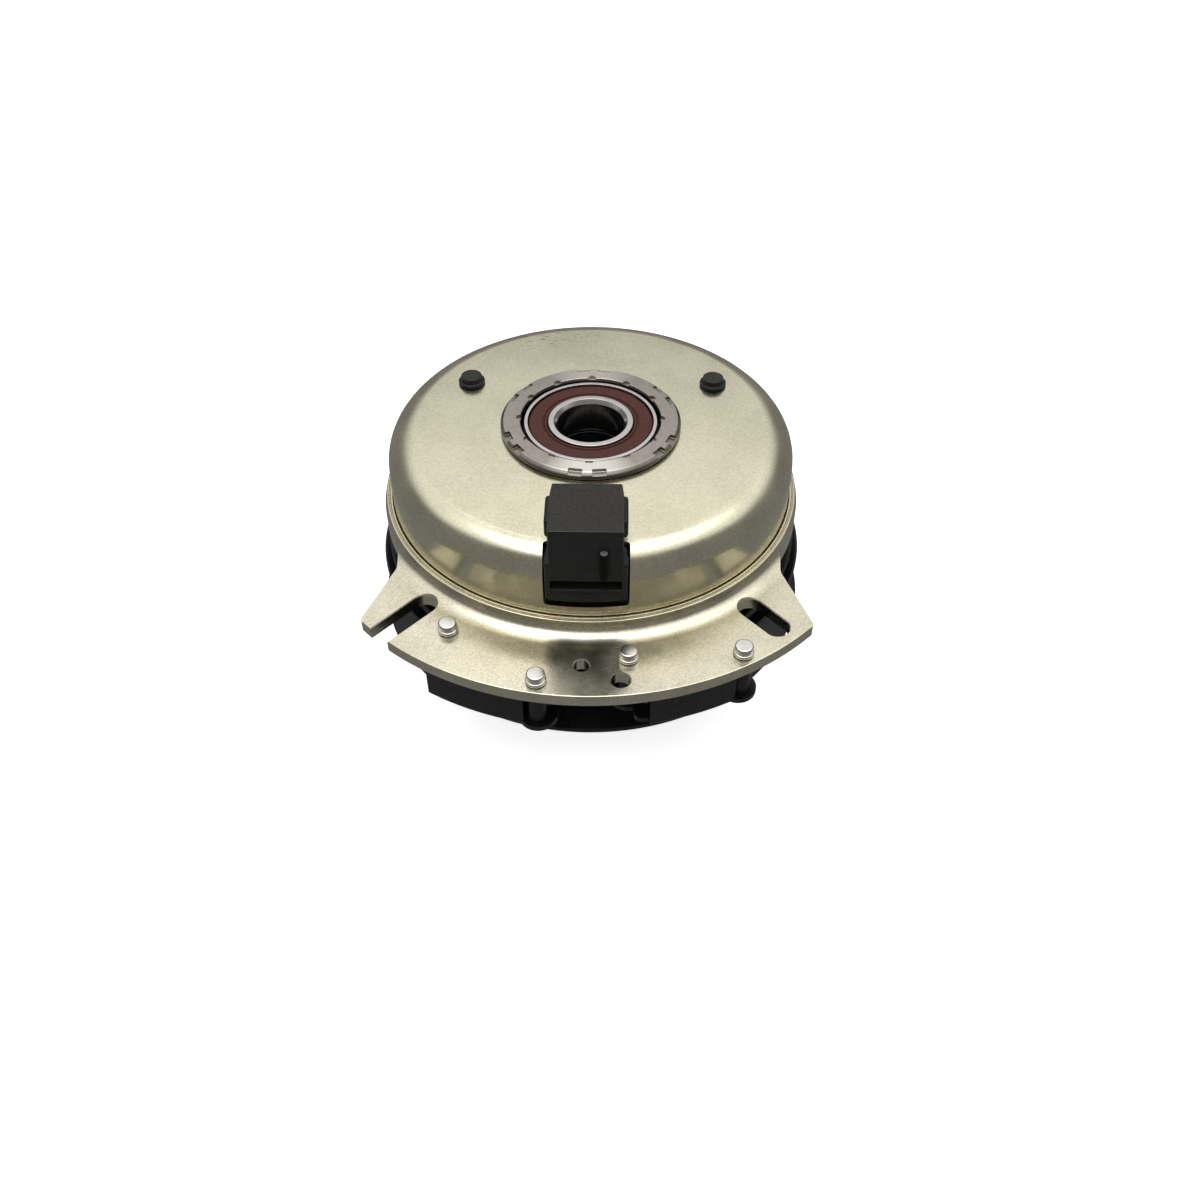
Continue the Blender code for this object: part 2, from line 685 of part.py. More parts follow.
def rotor_hub():
    top = UPPER_BOTTOM - FIT
    shoulder = LOWER_TOP + FIT
    spigot = LOWER_BORE - FIT
    tail = LOWER_BOTTOM - HUB_TAIL
    ring_top = LOWER_BOTTOM
    ring_bottom = LOWER_BOTTOM - RETAINER_THICKNESS - 2 * FIT
    flange_top = ROTOR_FACE - FIT
    flange_bottom = flange_top - HUB_FLANGE
    groove = spigot - 0.0012
    floor = top - COUNTERBORE_DEPTH
    profile = [
        (COUNTERBORE_RADIUS, top),
        (HUB_NECK_RADIUS, top),
        (HUB_NECK_RADIUS, top - HUB_NECK_HEIGHT),
        (HUB_RADIUS, top - HUB_NECK_HEIGHT - 0.002),
        (HUB_RADIUS, flange_top),
        (HUB_FLANGE_RADIUS, flange_top),
        (HUB_FLANGE_RADIUS, flange_bottom),
        (HUB_SHOULDER, flange_bottom - 0.001),
        (HUB_SHOULDER, shoulder),
        (spigot, shoulder),
        (spigot, ring_top),
        (groove, ring_top),
        (groove, ring_bottom),
        (spigot, ring_bottom),
        (spigot, tail),
        (SHAFT_RADIUS, tail),
        (SHAFT_RADIUS, floor - 0.0006),
        (SHAFT_RADIUS + 0.0006, floor),
        (COUNTERBORE_RADIUS, floor),
    ]
    hub = turned("rotor_hub", profile, STEEL, COARSE)
    half = KEY_WIDTH / 2
    reach = SHAFT_RADIUS + KEY_DEPTH
    keyway = block("keyway", -half, half, 0.004, reach, tail - 0.002, floor + 0.0002, None)
    cut(hub, keyway)
    return hub


def retaining_ring():
    # An open snap ring in the hub's groove.
    groove = LOWER_BORE - FIT - 0.0012
    inner = groove + FIT
    top = LOWER_BOTTOM - FIT
    bottom = top - RETAINER_THICKNESS
    gap = math.radians(9)
    outline = sweep(RETAINER_RADIUS, gap, math.tau - gap, 20)
    outline += sweep(inner, math.tau - gap, gap, 20)
    flat("retaining_ring", outline, bottom, top, SPRING_STEEL)


def banana_slots(name, middle, width, count, half_angle, bottom, top, turn=0.0):
    cutters = []
    for k in range(count):
        centre = turn + math.tau * k / count
        cutters.append(sector(
            name, middle - width / 2, middle + width / 2, centre - half_angle, centre + half_angle,
            bottom, top, None, 3))
    return gathered(name + "s", cutters)


def rotor_disc():
    inner_from = POLE_RADIUS + AIR_GAP
    inner_to = inner_from + ROTOR_INNER_FLANGE
    outer_to = CUP_INNER - AIR_GAP
    outer_from = outer_to - ROTOR_OUTER_FLANGE
    bore = HUB_RADIUS + FIT
    profile = [
        (bore, ROTOR_TOP),
        (inner_from, ROTOR_TOP),
        (inner_from, ROTOR_FLANGE_TOP),
        (inner_to, ROTOR_FLANGE_TOP),
        (inner_to, ROTOR_TOP),
        (outer_from, ROTOR_TOP),
        (outer_from, ROTOR_FLANGE_TOP),
        (outer_to, ROTOR_FLANGE_TOP),
        (outer_to, ROTOR_TOP + 0.0012),
        (ROTOR_RADIUS, ROTOR_TOP - 0.0015),
        (ROTOR_RADIUS, ROTOR_FACE),
        (bore, ROTOR_FACE),
    ]
    disc = turned("rotor_disc", profile, STEEL, MEDIUM)
    slots = banana_slots(
        "rotor_slot", SLOT_MIDDLE, SLOT_WIDTH, SLOT_COUNT, SLOT_HALF_ANGLE, ROTOR_FACE - 0.002, ROTOR_TOP + 0.002)
    cut(disc, slots)
    return disc


def spring_ends(index):
    centre = math.tau * index / SPRING_COUNT
    return centre, polar(SPRING_CIRCLE, centre - SPRING_HALF_ANGLE), polar(SPRING_CIRCLE, centre + SPRING_HALF_ANGLE)


def armature():
    profile = [
        (ARMATURE_INNER, ARMATURE_TOP),
        (ARMATURE_RADIUS - 0.0004, ARMATURE_TOP),
        (ARMATURE_RADIUS, ARMATURE_TOP - 0.0004),
        (ARMATURE_RADIUS, ARMATURE_BOTTOM),
        (ARMATURE_INNER, ARMATURE_BOTTOM),
    ]
    disc = turned("armature", profile, STEEL, MEDIUM)
    low = ARMATURE_BOTTOM - 0.002
    high = ARMATURE_TOP + 0.002
    cutters = []
    for k in range(SPRING_COUNT):
        end = spring_ends(k)[2]
        cutters.append(rod("armature_hole", end, SPRING_RIVET_RADIUS + FIT, low, high, steps=10))
    cut(disc, gathered("armature_holes", cutters))
    slots = banana_slots(
        "armature_slot", (SLOT_MIDDLE + ROTOR_RADIUS) / 2, SLOT_WIDTH * 0.8, 4, math.radians(30), low, high,
        math.radians(45))
    cut(disc, slots)
    return disc


def leaf_spring(index):
    # A joggled strap from a rivet on the pulley's web to one under the armature.
    turn, start_xy, end_xy = spring_ends(index)
    web_top = PULLEY_WEB_HEIGHT + PULLEY_SHEET
    low = web_top + FIT
    high = low + SPRING_RISE
    length = 2 * SPRING_CIRCLE * math.sin(SPRING_HALF_ANGLE)
    radius = SPRING_CIRCLE * math.cos(SPRING_HALF_ANGLE)
    half = SPRING_WIDTH / 2
    path = [
        (-length / 2 - half, low), (-length / 2 + half, low),
        (length / 2 - half - SPRING_KINK, high), (length / 2 + half, high),
    ]
    mesh = bpy.data.meshes.new("leaf_spring")
    work = bmesh.new()
    rows = []
    for along, height in path:
        rows.append([work.verts.new((along, -radius + side * half, height)) for side in (-1, 1)])
    for one, two in zip(rows, rows[1:]):
        work.faces.new((one[0], two[0], two[1], one[1]))
    bmesh.ops.rotate(work, verts=work.verts, cent=(0.0, 0.0, 0.0), matrix=Matrix.Rotation(turn, 3, "Z"))
    work.to_mesh(mesh)
    work.free()
    strap = place("leaf_spring_" + str(index + 1), mesh, SPRING_STEEL)
    wall = strap.modifiers.new("Sheet", "SOLIDIFY")
    wall.thickness = SPRING_SHEET
    wall.offset = 1.0
    ends = arc(0.0, 0.0, half, -math.pi / 2, math.pi / 2, 6)
    outline = [(length / 2 + x, -radius + y) for x, y in ends]
    outline += [(-length / 2 - x, -radius - y) for x, y in ends]
    keep = flat("spring_outline", outline, low - 0.003, high + 0.004, None)
    keep.data.transform(Matrix.Rotation(turn, 4, "Z"))
    combine(strap, keep, "INTERSECT")
    holes = [
        rod("spring_hole", spot, SPRING_RIVET_RADIUS + FIT, low - 0.002, high + 0.003, steps=10)
        for spot in (start_xy, end_xy)
    ]
    cut(strap, gathered("spring_holes", holes))
    number = str(index + 1)
    spring_top = low + SPRING_SHEET
    web_bottom = PULLEY_WEB_HEIGHT
    head = SPRING_RIVET_HEAD_HEIGHT
    upper = spring_top + FIT
    lower = web_bottom - FIT
    profile = [
        (0.0, upper + head),
        (SPRING_RIVET_HEAD - 0.0008, upper + head),
        (SPRING_RIVET_HEAD, upper),
        (SPRING_RIVET_RADIUS, upper),
        (SPRING_RIVET_RADIUS, lower),
        (SPRING_RIVET_HEAD, lower),
        (SPRING_RIVET_HEAD - 0.0008, lower - head),
        (0.0, lower - head),
    ]
    turned("pulley_rivet_" + number, profile, SPRING_STEEL, SMALL, closed=False, at=start_xy)
    far_top = high + SPRING_SHEET
    shoulder_top = ARMATURE_BOTTOM - FIT
    under = high - FIT - ARMATURE_TRAVEL
    profile = [
        (0.0, ARMATURE_TOP - FIT),
        (SPRING_RIVET_RADIUS, ARMATURE_TOP - FIT),
        (SPRING_RIVET_RADIUS, shoulder_top),
        (SPRING_RIVET_HEAD, shoulder_top),
        (SPRING_RIVET_HEAD, far_top + FIT),
        (SPRING_RIVET_RADIUS, far_top + FIT),
        (SPRING_RIVET_RADIUS, under),
        (SPRING_RIVET_HEAD, under),
        (SPRING_RIVET_HEAD - 0.0008, under - head),
        (0.0, under - head),
    ]
    turned("armature_rivet_" + number, profile, SPRING_STEEL, SMALL, closed=False, at=end_xy)


def pulley_rim():
    slope = math.tan(GROOVE_HALF_ANGLE)
    sheet = PULLEY_SHEET
    floor = GROOVE_FLOOR_RADIUS
    upper = PULLEY_UPPER_RADIUS
    lower = PULLEY_LOWER_RADIUS
    upper_lip = PULLEY_WIDTH - sheet + 0.0003
    lower_lip = sheet - 0.0003
    floor_top = upper_lip - (upper - floor) * slope
    floor_bottom = lower_lip + (lower - floor) * slope
    back = floor - sheet
    web_top = PULLEY_WEB_HEIGHT + sheet
    hub = PULLEY_HUB_RADIUS + FIT
    profile = [
        (hub, web_top),
        (floor - 0.0005, web_top),
        (upper - 0.0006, PULLEY_WIDTH),
        (upper, PULLEY_WIDTH - 0.0006),
        (upper, upper_lip),
        (floor, floor_top),
        (floor, floor_bottom),
        (lower, lower_lip),
        (lower, 0.0006),
        (lower - 0.0006, 0.0),
        (lower - REST_FACE_WIDTH, 0.0),
        (back, floor_bottom - sheet),
        (back, PULLEY_WEB_HEIGHT),
        (hub, PULLEY_WEB_HEIGHT),
    ]
    rim = turned("pulley_rim", profile, BLACK_PAINT, FINE)
    holes = []
    for k in range(SPRING_COUNT):
        start_xy = spring_ends(k)[1]
        holes.append(rod(
            "web_hole", start_xy, SPRING_RIVET_RADIUS + FIT, PULLEY_WEB_HEIGHT - 0.004, web_top + 0.004, steps=10))
    cut(rim, gathered("web_holes", holes))
    return rim


def pulley_hub():
    lip = LOWER_TOP + FIT
    top = lip + 0.0016
    flange_top = PULLEY_WEB_HEIGHT - FIT
    flange_bottom = flange_top - PULLEY_SHEET
    bottom = LOWER_BOTTOM - FIT
    profile = [
        (LOWER_OUTER - 0.0024, top),
        (PULLEY_HUB_RADIUS, top),
        (PULLEY_HUB_RADIUS, flange_top),
        (PULLEY_HUB_RADIUS + PULLEY_HUB_FLANGE, flange_top),
        (PULLEY_HUB_RADIUS + PULLEY_HUB_FLANGE, flange_bottom),
        (PULLEY_HUB_RADIUS, flange_bottom),
        (PULLEY_HUB_RADIUS, bottom),
        (PULLEY_HUB_BORE, bottom),
        (PULLEY_HUB_BORE, lip),
        (LOWER_OUTER - 0.0024, lip),
    ]
    return turned("pulley_hub", profile, BLACK_PAINT, COARSE)


def coil():
    inner = POLE_RADIUS + FIT
    wall = BOBBIN_WALL
    outer = BOBBIN_RADIUS
    core = inner + wall
    low = BOBBIN_BOTTOM
    high = BOBBIN_TOP
    profile = [
        (inner, high), (outer, high), (outer, high - wall), (core, high - wall),
        (core, low + wall), (outer, low + wall), (outer, low), (inner, low),
    ]
    turned("coil_bobbin", profile, PLASTIC, COARSE)
    wound = outer - 0.0015
    profile = [
        (core + FIT, high - wall - FIT), (wound, high - wall - FIT),
        (wound, low + wall + FIT), (core + FIT, low + wall + FIT),
    ]
    turned("coil_winding", profile, COPPER, COARSE)
    for side, name in ((-1, "left"), (1, "right")):
        base = CUP_TOP + FIT
        top = base + PLUG_HEIGHT
        profile = [
            (0.0, top),
            (PLUG_TOP, top),
            (PLUG_BASE - 0.0003, base + 0.0008),
            (PLUG_BASE, base),
            (PLUG_STEM, base),
            (PLUG_STEM, CUP_CEILING),
            (0.0, CUP_CEILING),
        ]
        centre = polar(PLUG_CIRCLE, side * PLUG_ANGLE)
        turned("bobbin_plug_" + name, profile, PLASTIC, SMALL, closed=False, at=centre)


def connector():
    half = CONNECTOR_WIDTH / 2
    foot_half = CONNECTOR_FOOT_WIDTH / 2
    base = CUP_TOP + FIT
    top = CUP_TOP + CONNECTOR_ABOVE_CUP
    front = -CONNECTOR_FRONT
    foot_bottom = CUP_TOP - CONNECTOR_FOOT_DEPTH
    inside = -(BOBBIN_RADIUS + 2 * FIT)
    taper = 0.0055
    outline = [
        (-half, front), (half, front), (half, -CONNECTOR_BACK - taper), (half - 0.0011, -CONNECTOR_BACK),
        (-half + 0.0011, -CONNECTOR_BACK), (-half, -CONNECTOR_BACK - taper),
    ]
    body = flat("connector_housing", outline, base, top, PLASTIC)
    # the foot through the cup's window
    foot = block("connector_foot", -foot_half, foot_half, front, inside, foot_bottom, base + 0.0015, None)
    soften(foot, 0.0008, 1)
    join(body, foot)
    # side rails: upper ears and lower guides
    for side in (-1, 1):
        near, far = sorted((side * (half - 0.001), side * (foot_half + 0.0002)))
        ear = block("connector_ear", near, far, front + 0.0025, -CONNECTOR_BACK - taper, top - 0.0095, top - 0.0022, None)
        soften(ear, 0.0009, 1)
        join(body, ear)
        guide = block("connector_guide", near, far, front + 0.0006, front + 0.006, base - 0.001, top - 0.0125, None)
        join(body, guide)
    mouth_low = foot_bottom + MOUTH_BOTTOM
    mouth_high = mouth_low + MOUTH_HEIGHT
    mouth_half = MOUTH_WIDTH / 2
    back_wall = inside - CONNECTOR_WALL
    mouth = block("connector_mouth", -mouth_half, mouth_half, front - 0.002, back_wall, mouth_low, mouth_high, None)
    cut(body, mouth)
    # the latch rib on the front wall
    outline = arc(LATCH_PLACE, front + 0.0002, LATCH_RADIUS, math.pi, math.tau, 6)
    outline += [(LATCH_PLACE + LATCH_RADIUS, front + 0.001), (LATCH_PLACE - LATCH_RADIUS, front + 0.001)]
    join(body, flat("latch_rib", outline, mouth_high + 0.0005, top - LATCH_DROP, None))
    slots = []
    middle = (mouth_low + mouth_high) / 2
    for side, name in ((-1, "left"), (1, "right")):
        x = side * BLADE_SPACING
        wide = BLADE_WIDTH / 2
        thick = BLADE_THICKNESS / 2
        tip = front + BLADE_TIP
        root = inside + FIT
        block("terminal_" + name, x - wide, x + wide, tip, root, middle - thick, middle + thick, BRIGHT)
        slots.append(block(
            "blade_slot", x - wide - FIT, x + wide + FIT, back_wall - 0.001, root + 0.002,
            middle - thick - FIT, middle + thick + FIT, None))
    cut(body, gathered("blade_slots", slots))
    return body


def build():
    field_cup()
    inner_pole()
    torque_plate()
    coil()
    connector()
    bearing("upper_bearing", SHAFT_RADIUS, UPPER_OUTER, UPPER_BOTTOM, UPPER_WIDTH, UPPER_BALLS, COARSE)
    brake_shoe("left", -SHOE_TURN, SHOE_WALL_START_LEFT)
    brake_shoe("right", SHOE_TURN, SHOE_WALL_START_RIGHT)
    rotor_hub()
    rotor_disc()
    retaining_ring()
    bearing("lower_bearing", LOWER_BORE, LOWER_OUTER, LOWER_BOTTOM, LOWER_WIDTH, LOWER_BALLS, COARSE)
    pulley_rim()
    pulley_hub()
    armature()
    for index in range(SPRING_COUNT):
        leaf_spring(index)


build()
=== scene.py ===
import math

import bpy
from mathutils import Matrix, Vector


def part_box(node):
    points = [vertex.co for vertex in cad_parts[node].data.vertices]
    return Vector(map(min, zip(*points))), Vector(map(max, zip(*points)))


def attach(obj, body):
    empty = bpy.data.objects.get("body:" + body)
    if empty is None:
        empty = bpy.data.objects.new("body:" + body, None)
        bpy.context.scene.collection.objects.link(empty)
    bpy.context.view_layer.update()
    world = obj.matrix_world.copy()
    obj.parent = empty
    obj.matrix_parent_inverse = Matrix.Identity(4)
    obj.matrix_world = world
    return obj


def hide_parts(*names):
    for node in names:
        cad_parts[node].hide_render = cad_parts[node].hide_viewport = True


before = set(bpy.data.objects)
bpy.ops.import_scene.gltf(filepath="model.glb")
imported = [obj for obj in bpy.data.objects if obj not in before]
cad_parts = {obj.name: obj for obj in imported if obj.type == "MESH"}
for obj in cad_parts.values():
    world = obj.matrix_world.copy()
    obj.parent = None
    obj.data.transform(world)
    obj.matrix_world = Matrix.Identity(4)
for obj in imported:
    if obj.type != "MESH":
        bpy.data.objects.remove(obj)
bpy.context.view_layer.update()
print("frame loaded")


# small tools

def clearSelection():
    if bpy.context.object and bpy.context.object.mode != "OBJECT":
        bpy.ops.object.mode_set(mode="OBJECT")
    bpy.ops.object.select_all(action="DESELECT")


def focusOn(piece):
    clearSelection()
    piece.select_set(True)
    bpy.context.view_layer.objects.active = piece


def nodeSpan(node):
    # lowest and highest height, and the largest distance from the shaft
    low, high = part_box(node)
    reach = max((v.co.xy.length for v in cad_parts[node].data.vertices))
    return low.z, high.z, reach


def polar(radius, degrees):
    # angle from the front towards +X
    turn = math.radians(degrees)
    return Vector((radius * math.sin(turn), -radius * math.cos(turn), 0))


def roundCorners(corners, closed=True):
    # corners are (across, up, rounding); the rounded ones become true arcs
    points = []
    count = len(corners)
    for index, (across, up, ease) in enumerate(corners):
        here = Vector((across, up))
        atEnd = not closed and index in (0, count - 1)
        if ease == 0 or atEnd:
            points.append(here)
            continue
        toLast = Vector(corners[index - 1][:2]) - here
        toNext = Vector(corners[(index + 1) % count][:2]) - here
        between = toLast.angle(toNext)
        reach = min(ease / math.tan(between / 2), toLast.length * 0.49, toNext.length * 0.49)
        radius = reach * math.tan(between / 2)
        inward = (toLast.normalized() + toNext.normalized()).normalized()
        middle = here + inward * (radius / math.sin(between / 2))
        first = here + toLast.normalized() * reach - middle
        last = here + toNext.normalized() * reach - middle
        start = math.atan2(first.y, first.x)
        sweep = (math.atan2(last.y, last.x) - start + math.pi) % math.tau - math.pi
        steps = max(2, math.ceil(abs(sweep) / math.radians(30 if radius < 0.001 else 11)))
        for step in range(steps + 1):
            turn = start + sweep * step / steps
            points.append(middle + Vector((math.cos(turn), math.sin(turn))) * radius)
    return points


def drawPath(name, points, closed):
    # one vertex, extruded from point to point
    clearSelection()
    bpy.ops.mesh.primitive_plane_add(size=0.001)
    piece = bpy.context.object
    piece.name = name
    bpy.ops.object.mode_set(mode="EDIT")
    bpy.ops.mesh.select_all(action="SELECT")
    bpy.ops.mesh.merge(type="CENTER")
    bpy.ops.transform.translate(value=points[0])
    route = list(points) + ([points[0]] if closed else [])
    for last, point in zip(route, route[1:]):
        bpy.ops.mesh.extrude_region_move(TRANSFORM_OT_translate={"value": point - last})
    bpy.ops.mesh.select_all(action="SELECT")
    bpy.ops.mesh.remove_doubles(threshold=0.000002)
    return piece


def smooth(piece, degrees=35):
    focusOn(piece)
    bpy.ops.object.shade_smooth_by_angle(angle=math.radians(degrees))
    return piece


def turn(name, corners, steps=128, closed=True):
    # a profile spun round the shaft
    path = [Vector((point.x, 0, point.y)) for point in roundCorners(corners, closed)]
    piece = drawPath(name, path, closed)
    bpy.ops.mesh.spin(steps=steps, angle=math.tau, center=(0, 0, 0), axis=(0, 0, 1))
    bpy.ops.mesh.select_all(action="SELECT")
    bpy.ops.mesh.remove_doubles(threshold=0.000002)
    bpy.ops.mesh.normals_make_consistent(inside=False)
    return smooth(piece)


def slab(name, outline, low, high):
    # a flat outline given its thickness
    piece = drawPath(name, [Vector((point.x, point.y, low)) for point in outline], True)
    bpy.ops.mesh.edge_face_add()
    bpy.ops.mesh.extrude_region_move(TRANSFORM_OT_translate={"value": (0, 0, high - low)})
    bpy.ops.mesh.select_all(action="SELECT")
    bpy.ops.mesh.normals_make_consistent(inside=False)
    bpy.ops.object.mode_set(mode="OBJECT")
    return piece


def box(name, low, high):
    # a cube between two corners
    clearSelection()
    middle = (Vector(low) + Vector(high)) / 2
    bpy.ops.mesh.primitive_cube_add(size=1, location=middle)
    piece = bpy.context.object
    piece.name = name
    piece.scale = Vector(high) - Vector(low)
    bpy.ops.object.transform_apply(location=True, rotation=True, scale=True)
    return piece


def rod(name, centre, radius, low, high, sides=32):
    clearSelection()
    middle = (centre[0], centre[1], (low + high) / 2)
    bpy.ops.mesh.primitive_cylinder_add(vertices=sides, radius=radius, depth=high - low, location=middle)
    piece = bpy.context.object
    piece.name = name
    bpy.ops.object.transform_apply(location=True, rotation=True, scale=True)
    return piece


def shape(piece, kind, tool, solver="EXACT"):
    # cuts, adds or keeps by another piece, which is used up
    step = piece.modifiers.new("Shape", "BOOLEAN")
    step.operation = kind
    step.solver = solver
    step.object = tool
    focusOn(piece)
    bpy.ops.object.modifier_apply(modifier=step.name)
    bpy.data.objects.remove(tool, do_unlink=True)
    return piece


def softEdges(piece, width, segments=2, degrees=40):
    step = piece.modifiers.new("Edges", "BEVEL")
    step.width = width
    step.segments = segments
    step.limit_method = "ANGLE"
    step.angle_limit = math.radians(degrees)
    step.use_clamp_overlap = True
    focusOn(piece)
    bpy.ops.object.modifier_apply(modifier=step.name)
    return piece


def turnAbout(piece, degrees):
    # turns a finished shape round the shaft, in its mesh
    piece.rotation_euler.z = math.radians(degrees)
    focusOn(piece)
    bpy.ops.object.transform_apply(location=True, rotation=True, scale=True)
    return piece


def copyTo(pattern, name, place=(0, 0, 0), degrees=0.0):
    # a copy with its own mesh, turned round the shaft and moved in its mesh
    focusOn(pattern)
    bpy.ops.object.duplicate(linked=False)
    piece = bpy.context.object
    piece.name = name
    piece.location = (place[0], place[1], 0)
    return turnAbout(piece, degrees)


def drop(pattern):
    bpy.data.objects.remove(pattern, do_unlink=True)


def gather(pieces):
    clearSelection()
    for piece in pieces:
        piece.select_set(True)
    bpy.context.view_layer.objects.active = pieces[0]
    bpy.ops.object.join()
    return bpy.context.object


def dress(piece, body, material, nodes):
    # flat faces stay flat beside their small rounded edges
    step = piece.modifiers.new("Shading", "WEIGHTED_NORMAL")
    step.keep_sharp = True
    focusOn(piece)
    bpy.ops.object.modifier_apply(modifier=step.name)
    piece.data.materials.clear()
    piece.data.materials.append(material)
    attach(piece, body)
    if nodes:
        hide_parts(*nodes)
    return piece


# finishes

def newFinish(name, colour, roughness, metallic):
    material = bpy.data.materials.new(name)
    material.use_nodes = True
    shader = material.node_tree.nodes["Principled BSDF"]
    shader.inputs["Base Color"].default_value = (*colour, 1)
    shader.inputs["Roughness"].default_value = roughness
    shader.inputs["Metallic"].default_value = metallic
    material.diffuse_color = (*colour, 1)
    return material, material.node_tree, shader


def addNode(tree, kind, **settings):
    node = tree.nodes.new(kind)
    for key, value in settings.items():
        if hasattr(node, key):
            setattr(node, key, value)
        else:
            node.inputs[key.replace("_", " ")].default_value = value
    return node


def objectSpace(tree):
    return addNode(tree, "ShaderNodeTexCoord").outputs["Object"]


def grain(tree, where, size, detail=3.0, stretch=None):
    # noise whose features are about that size, in metres
    noise = addNode(tree, "ShaderNodeTexNoise", Scale=1 / size, Detail=detail)
    if stretch:
        mapping = addNode(tree, "ShaderNodeMapping", Scale=stretch)
        tree.links.new(where, mapping.inputs["Vector"])
        where = mapping.outputs["Vector"]
    tree.links.new(where, noise.inputs["Vector"])
    return noise.outputs["Fac"]


def remap(tree, value, low, high, toLow, toHigh):
    node = addNode(tree, "ShaderNodeMapRange")
    node.inputs["From Min"].default_value = low
    node.inputs["From Max"].default_value = high
    node.inputs["To Min"].default_value = toLow
    node.inputs["To Max"].default_value = toHigh
    tree.links.new(value, node.inputs["Value"])
    return node.outputs["Result"]


def twoTones(tree, value, first, second, low=0.4, high=0.6):
    ramp = addNode(tree, "ShaderNodeValToRGB")
    ramp.color_ramp.elements[0].position = low
    ramp.color_ramp.elements[0].color = (*first, 1)
    ramp.color_ramp.elements[1].position = high
    ramp.color_ramp.elements[1].color = (*second, 1)
    tree.links.new(value, ramp.inputs["Fac"])
    return ramp.outputs["Color"]


def blendColours(tree, amount, first, second, kind="MIX"):
    mix = addNode(tree, "ShaderNodeMix", data_type="RGBA", blend_type=kind)
    for socket, value in ((mix.inputs[0], amount), (mix.inputs[6], first), (mix.inputs[7], second)):
        if isinstance(value, (float, int)):
            socket.default_value = value
        elif isinstance(value, tuple):
            socket.default_value = (*value, 1)
        else:
            tree.links.new(value, socket)
    return mix.outputs[2]


def roughen(tree, shader, height, depth, strength=1.0):
    bump = addNode(tree, "ShaderNodeBump", Strength=strength, Distance=depth)
    tree.links.new(height, bump.inputs["Height"])
    tree.links.new(bump.outputs["Normal"], shader.inputs["Normal"])


zincLook = {
    "pale": (0.845, 0.805, 0.605),
    "deep": (0.68, 0.645, 0.48),
    "speck": (0.20, 0.18, 0.13),
    "grainSize": 0.0009,
    "cloudSize": 0.018,
    "roughLow": 0.20,
    "roughHigh": 0.28,
    "grainDepth": 0.00002,
    "speckShare": 0.6,
}

plateLook = {
    "pale": (0.83, 0.775, 0.60),
    "deep": (0.61, 0.57, 0.445),
    "speck": (0.22, 0.19, 0.15),
    "grainSize": 0.0008,
    "cloudSize": 0.012,
    "roughLow": 0.21,
    "roughHigh": 0.30,
    "grainDepth": 0.00004,
    "speckShare": 0.6,
}


def makeZinc(name, look, scuffs):
    material, tree, shader = newFinish(name, look["pale"], 0.35, 1.0)
    where = objectSpace(tree)
    fine = grain(tree, where, look["grainSize"], 4)
    cloud = grain(tree, where, look["cloudSize"], 3)
    fineTone = twoTones(tree, fine, look["deep"], look["pale"], 0.36, 0.62)
    cloudTone = twoTones(tree, cloud, look["deep"], look["pale"], 0.38, 0.6)
    tone = blendColours(tree, 0.38, fineTone, cloudTone)
    specks = remap(tree, grain(tree, where, 0.0016, 4), 0.74, 0.80, 0.0, look["speckShare"])
    tone = blendColours(tree, specks, tone, look["speck"])
    if scuffs:
        tone = blendColours(tree, scuffMask(tree, where), tone, look["speck"])
    tree.links.new(tone, shader.inputs["Base Color"])
    roughness = remap(tree, cloud, 0.3, 0.7, look["roughLow"], look["roughHigh"])
    tree.links.new(roughness, shader.inputs["Roughness"])
    roughen(tree, shader, fine, look["grainDepth"], 0.4)
    return material


scuffLook = {
    "centre": (-0.018, 0.064, 0.077),
    "spread": (40, 75, 60),
    "size": 0.0014,
    "stretch": (0.5, 1.6, 1.0),
    "share": 0.75,
}


def scuffMask(tree, where):
    # a few dark rubs near the back edge of the dome
    mapping = addNode(tree, "ShaderNodeMapping", vector_type="TEXTURE")
    mapping.inputs["Location"].default_value = scuffLook["centre"]
    tree.links.new(where, mapping.inputs["Vector"])
    wide = addNode(tree, "ShaderNodeVectorMath", operation="MULTIPLY")
    wide.inputs[1].default_value = scuffLook["spread"]
    tree.links.new(mapping.outputs["Vector"], wide.inputs[0])
    length = addNode(tree, "ShaderNodeVectorMath", operation="LENGTH")
    tree.links.new(wide.outputs["Vector"], length.inputs[0])
    near = remap(tree, length.outputs["Value"], 0.5, 1.0, 1.0, 0.0)
    rubs = grain(tree, where, scuffLook["size"], 5, scuffLook["stretch"])
    rub = remap(tree, rubs, 0.58, 0.66, 0.0, scuffLook["share"])
    both = addNode(tree, "ShaderNodeMath", operation="MULTIPLY")
    tree.links.new(near, both.inputs[0])
    tree.links.new(rub, both.inputs[1])
    return both.outputs["Value"]


def makeSteel(name, roughness, size=0.0016, ringSize=0.0, ringDepth=0.0):
    first, second = tones[name]
    material, tree, shader = newFinish(name, second, roughness, 1.0)
    where = objectSpace(tree)
    tree.links.new(twoTones(tree, grain(tree, where, size, 5), first, second), shader.inputs["Base Color"])
    if ringSize:
        # a wave's rings lie 0.314 apart at scale 1
        rings = addNode(tree, "ShaderNodeTexWave", wave_type="RINGS", rings_direction="Z", Distortion=0.4)
        rings.inputs["Scale"].default_value = 0.31416 / ringSize
        tree.links.new(where, rings.inputs["Vector"])
        roughen(tree, shader, rings.outputs["Fac"], ringDepth, 0.5)
    return material


